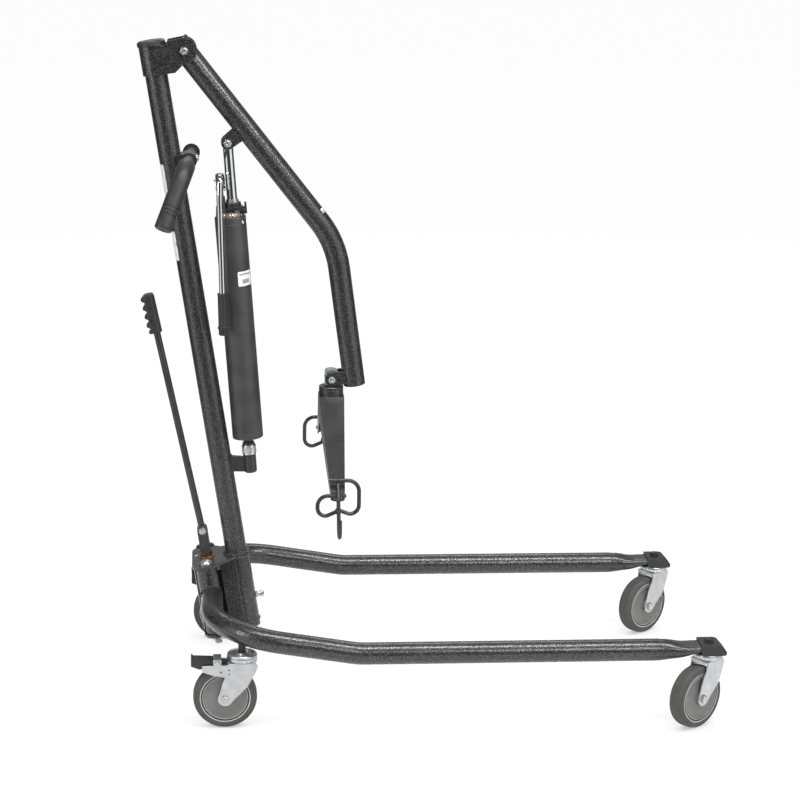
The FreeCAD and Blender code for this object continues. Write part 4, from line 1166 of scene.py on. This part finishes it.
def floor_material():
    net = new_net("pale_floor")
    colour = net.fade(net.noise(scale=3.0, detail=4.0, rough=0.55), 0.80, 0.83)
    normal = net.bump(net.noise(scale=500), strength=0.02, distance=0.0005)
    plain = net.principled(Base_Color=colour, Roughness=0.9, Specular_IOR_Level=0.1,
                           Normal=normal)
    # To the camera: nearly white with a soft contact shade
    contact = net.node("ShaderNodeAmbientOcclusion", {"Distance": 0.09}, samples=8)
    shade = net.ramp(contact.outputs["AO"], [(0.12, 0.46), (0.55, 0.80), (1.0, 0.93)])
    glow = net.node("ShaderNodeEmission", {"Color": shade})
    diffuse = net.node("ShaderNodeBsdfDiffuse", {"Color": 0.12})
    seen = net.node("ShaderNodeAddShader", {0: glow.outputs[0], 1: diffuse.outputs[0]})
    rays = net.node("ShaderNodeLightPath").outputs
    # In reflections the far floor fades into the studio's panels
    position = net.node("ShaderNodeNewGeometry").outputs["Position"]
    place = net.node("ShaderNodeSeparateXYZ", {0: position}).outputs
    x, y = place["X"], place["Y"]
    distance = net.calc("SQRT", net.add(net.times(x, x), net.times(y, y)))
    far = net.times(net.calc("SUBTRACT", distance, 1.1), 0.9, clamp=True)
    panels = net.node("ShaderNodeEmission", {"Color": studio_bands(net, x, y),
                                             "Strength": REFLECTION_STRENGTH})
    unseen = net.mix_shader(net.times(far, rays["Is Glossy Ray"]), plain, panels.outputs[0])
    net.output(net.mix_shader(rays["Is Camera Ray"], unseen, seen.outputs[0]))
    return net.owner


def floor():
    material = floor_material()
    half = 40.0         # metres, as is the small drop that keeps it under the tyres
    drop = -0.0004
    bm = bmesh.new()
    bm.faces.new([bm.verts.new(Vector((x * half, y * half, drop)))
                  for x, y in ((-1, -1), (1, -1), (1, 1), (-1, 1))])
    mesh = bpy.data.meshes.new("floor")
    bm.to_mesh(mesh)
    bm.free()
    obj = bpy.data.objects.new("floor", mesh)
    bpy.context.scene.collection.objects.link(obj)
    mesh.materials.append(material)
    obj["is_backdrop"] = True


floor()

# ------------------------------------------------------------------ lights
# name, place, target, width, height (all in metres), power in watts
LIGHTS = (
    ("top_strip", (0.2, -1.25, 4.2), (0.1, -0.1, 0.3), 3.4, 0.40, 130),
    ("boom_strip", (2.7, -1.95, 3.7), (0.0, 0.0, 1.0), 0.40, 1.5, 62),
    ("front_box", (1.4, -4.8, 3.2), (0.0, 0.0, 0.6), 0.8, 1.2, 62),
    ("left_strip", (-3.4, -2.2, 1.8), (0.0, 0.0, 0.7), 0.40, 2.4, 40),
    ("back_top", (0.0, 3.0, 3.4), (0.0, 0.0, 0.6), 2.6, 0.8, 36),
)
for name, place, target, width, height, power in LIGHTS:
    light = bpy.data.lights.new(name, "AREA")
    light.shape = "RECTANGLE"
    light.size = width
    light.size_y = height
    light.energy = power
    lamp = bpy.data.objects.new(name, light)
    lamp.location = place
    aim = Vector(target) - Vector(place)
    lamp.rotation_euler = aim.to_track_quat("-Z", "Y").to_euler()
    bpy.context.scene.collection.objects.link(lamp)


# ------------------------------------------------------------------ world
def studio_world():
    """White to the camera, dim white for diffuse light, panels in reflections."""
    world_data = bpy.data.worlds.new("studio")
    bpy.context.scene.world = world_data
    net = Net(world_data)
    generated = net.node("ShaderNodeTexCoord").outputs["Generated"]
    heading = net.node("ShaderNodeSeparateXYZ", {0: generated}).outputs
    bands = studio_bands(net, heading["X"], heading["Y"])
    overhead = net.fade(heading["Z"], 0.0, 1.0, at=(0.35, 0.75))
    panels = net.mix(overhead, bands, 0.30)
    rays = net.node("ShaderNodeLightPath").outputs

    def background(colour, strength):
        return net.node("ShaderNodeBackground",
                        {"Color": colour, "Strength": strength}).outputs[0]

    seen = background(colour=1, strength=1.0)
    diffuse = background(colour=1, strength=0.40)
    glossy = background(colour=panels, strength=REFLECTION_STRENGTH)
    unseen = net.mix_shader(rays["Is Glossy Ray"], diffuse, glossy)
    net.output(net.mix_shader(rays["Is Camera Ray"], unseen, seen), "ShaderNodeOutputWorld")


studio_world()

# ------------------------------------------------------------------ camera and view
CAMERA_PLACE = Vector((-43.31, -4484.66, 1719.62))      # design millimetres
CAMERA_YAW = math.radians(-5.19)        # from +Y, towards -X when positive
CAMERA_PITCH = math.radians(13.97)      # downwards
CAMERA_ROLL = math.radians(1.0)


def camera():
    data = bpy.data.cameras.new("camera")
    data.sensor_width = 36.0
    data.lens = 101.495
    data.clip_end = 200.0
    obj = bpy.data.objects.new("camera", data)
    bpy.context.scene.collection.objects.link(obj)
    ahead = Vector((-math.sin(CAMERA_YAW) * math.cos(CAMERA_PITCH),
                    math.cos(CAMERA_YAW) * math.cos(CAMERA_PITCH), -math.sin(CAMERA_PITCH)))
    level = Vector((math.cos(CAMERA_YAW), math.sin(CAMERA_YAW), 0))
    upright = level.cross(ahead)
    right = level * math.cos(CAMERA_ROLL) + upright * math.sin(CAMERA_ROLL)
    top = -level * math.sin(CAMERA_ROLL) + upright * math.cos(CAMERA_ROLL)
    matrix = Matrix((right, top, -ahead)).transposed().to_4x4()
    matrix.translation = world(CAMERA_PLACE)
    obj.matrix_world = matrix
    bpy.context.scene.camera = obj


view = bpy.context.scene.view_settings
view.view_transform = "Standard"
view.look = "None"
view.exposure = 0.0
camera()

bpy.context.view_layer.update()
lo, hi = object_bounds()
{"cad": [list(CAD_LO), list(CAD_HI)], "visual": [list(lo), list(hi)]}
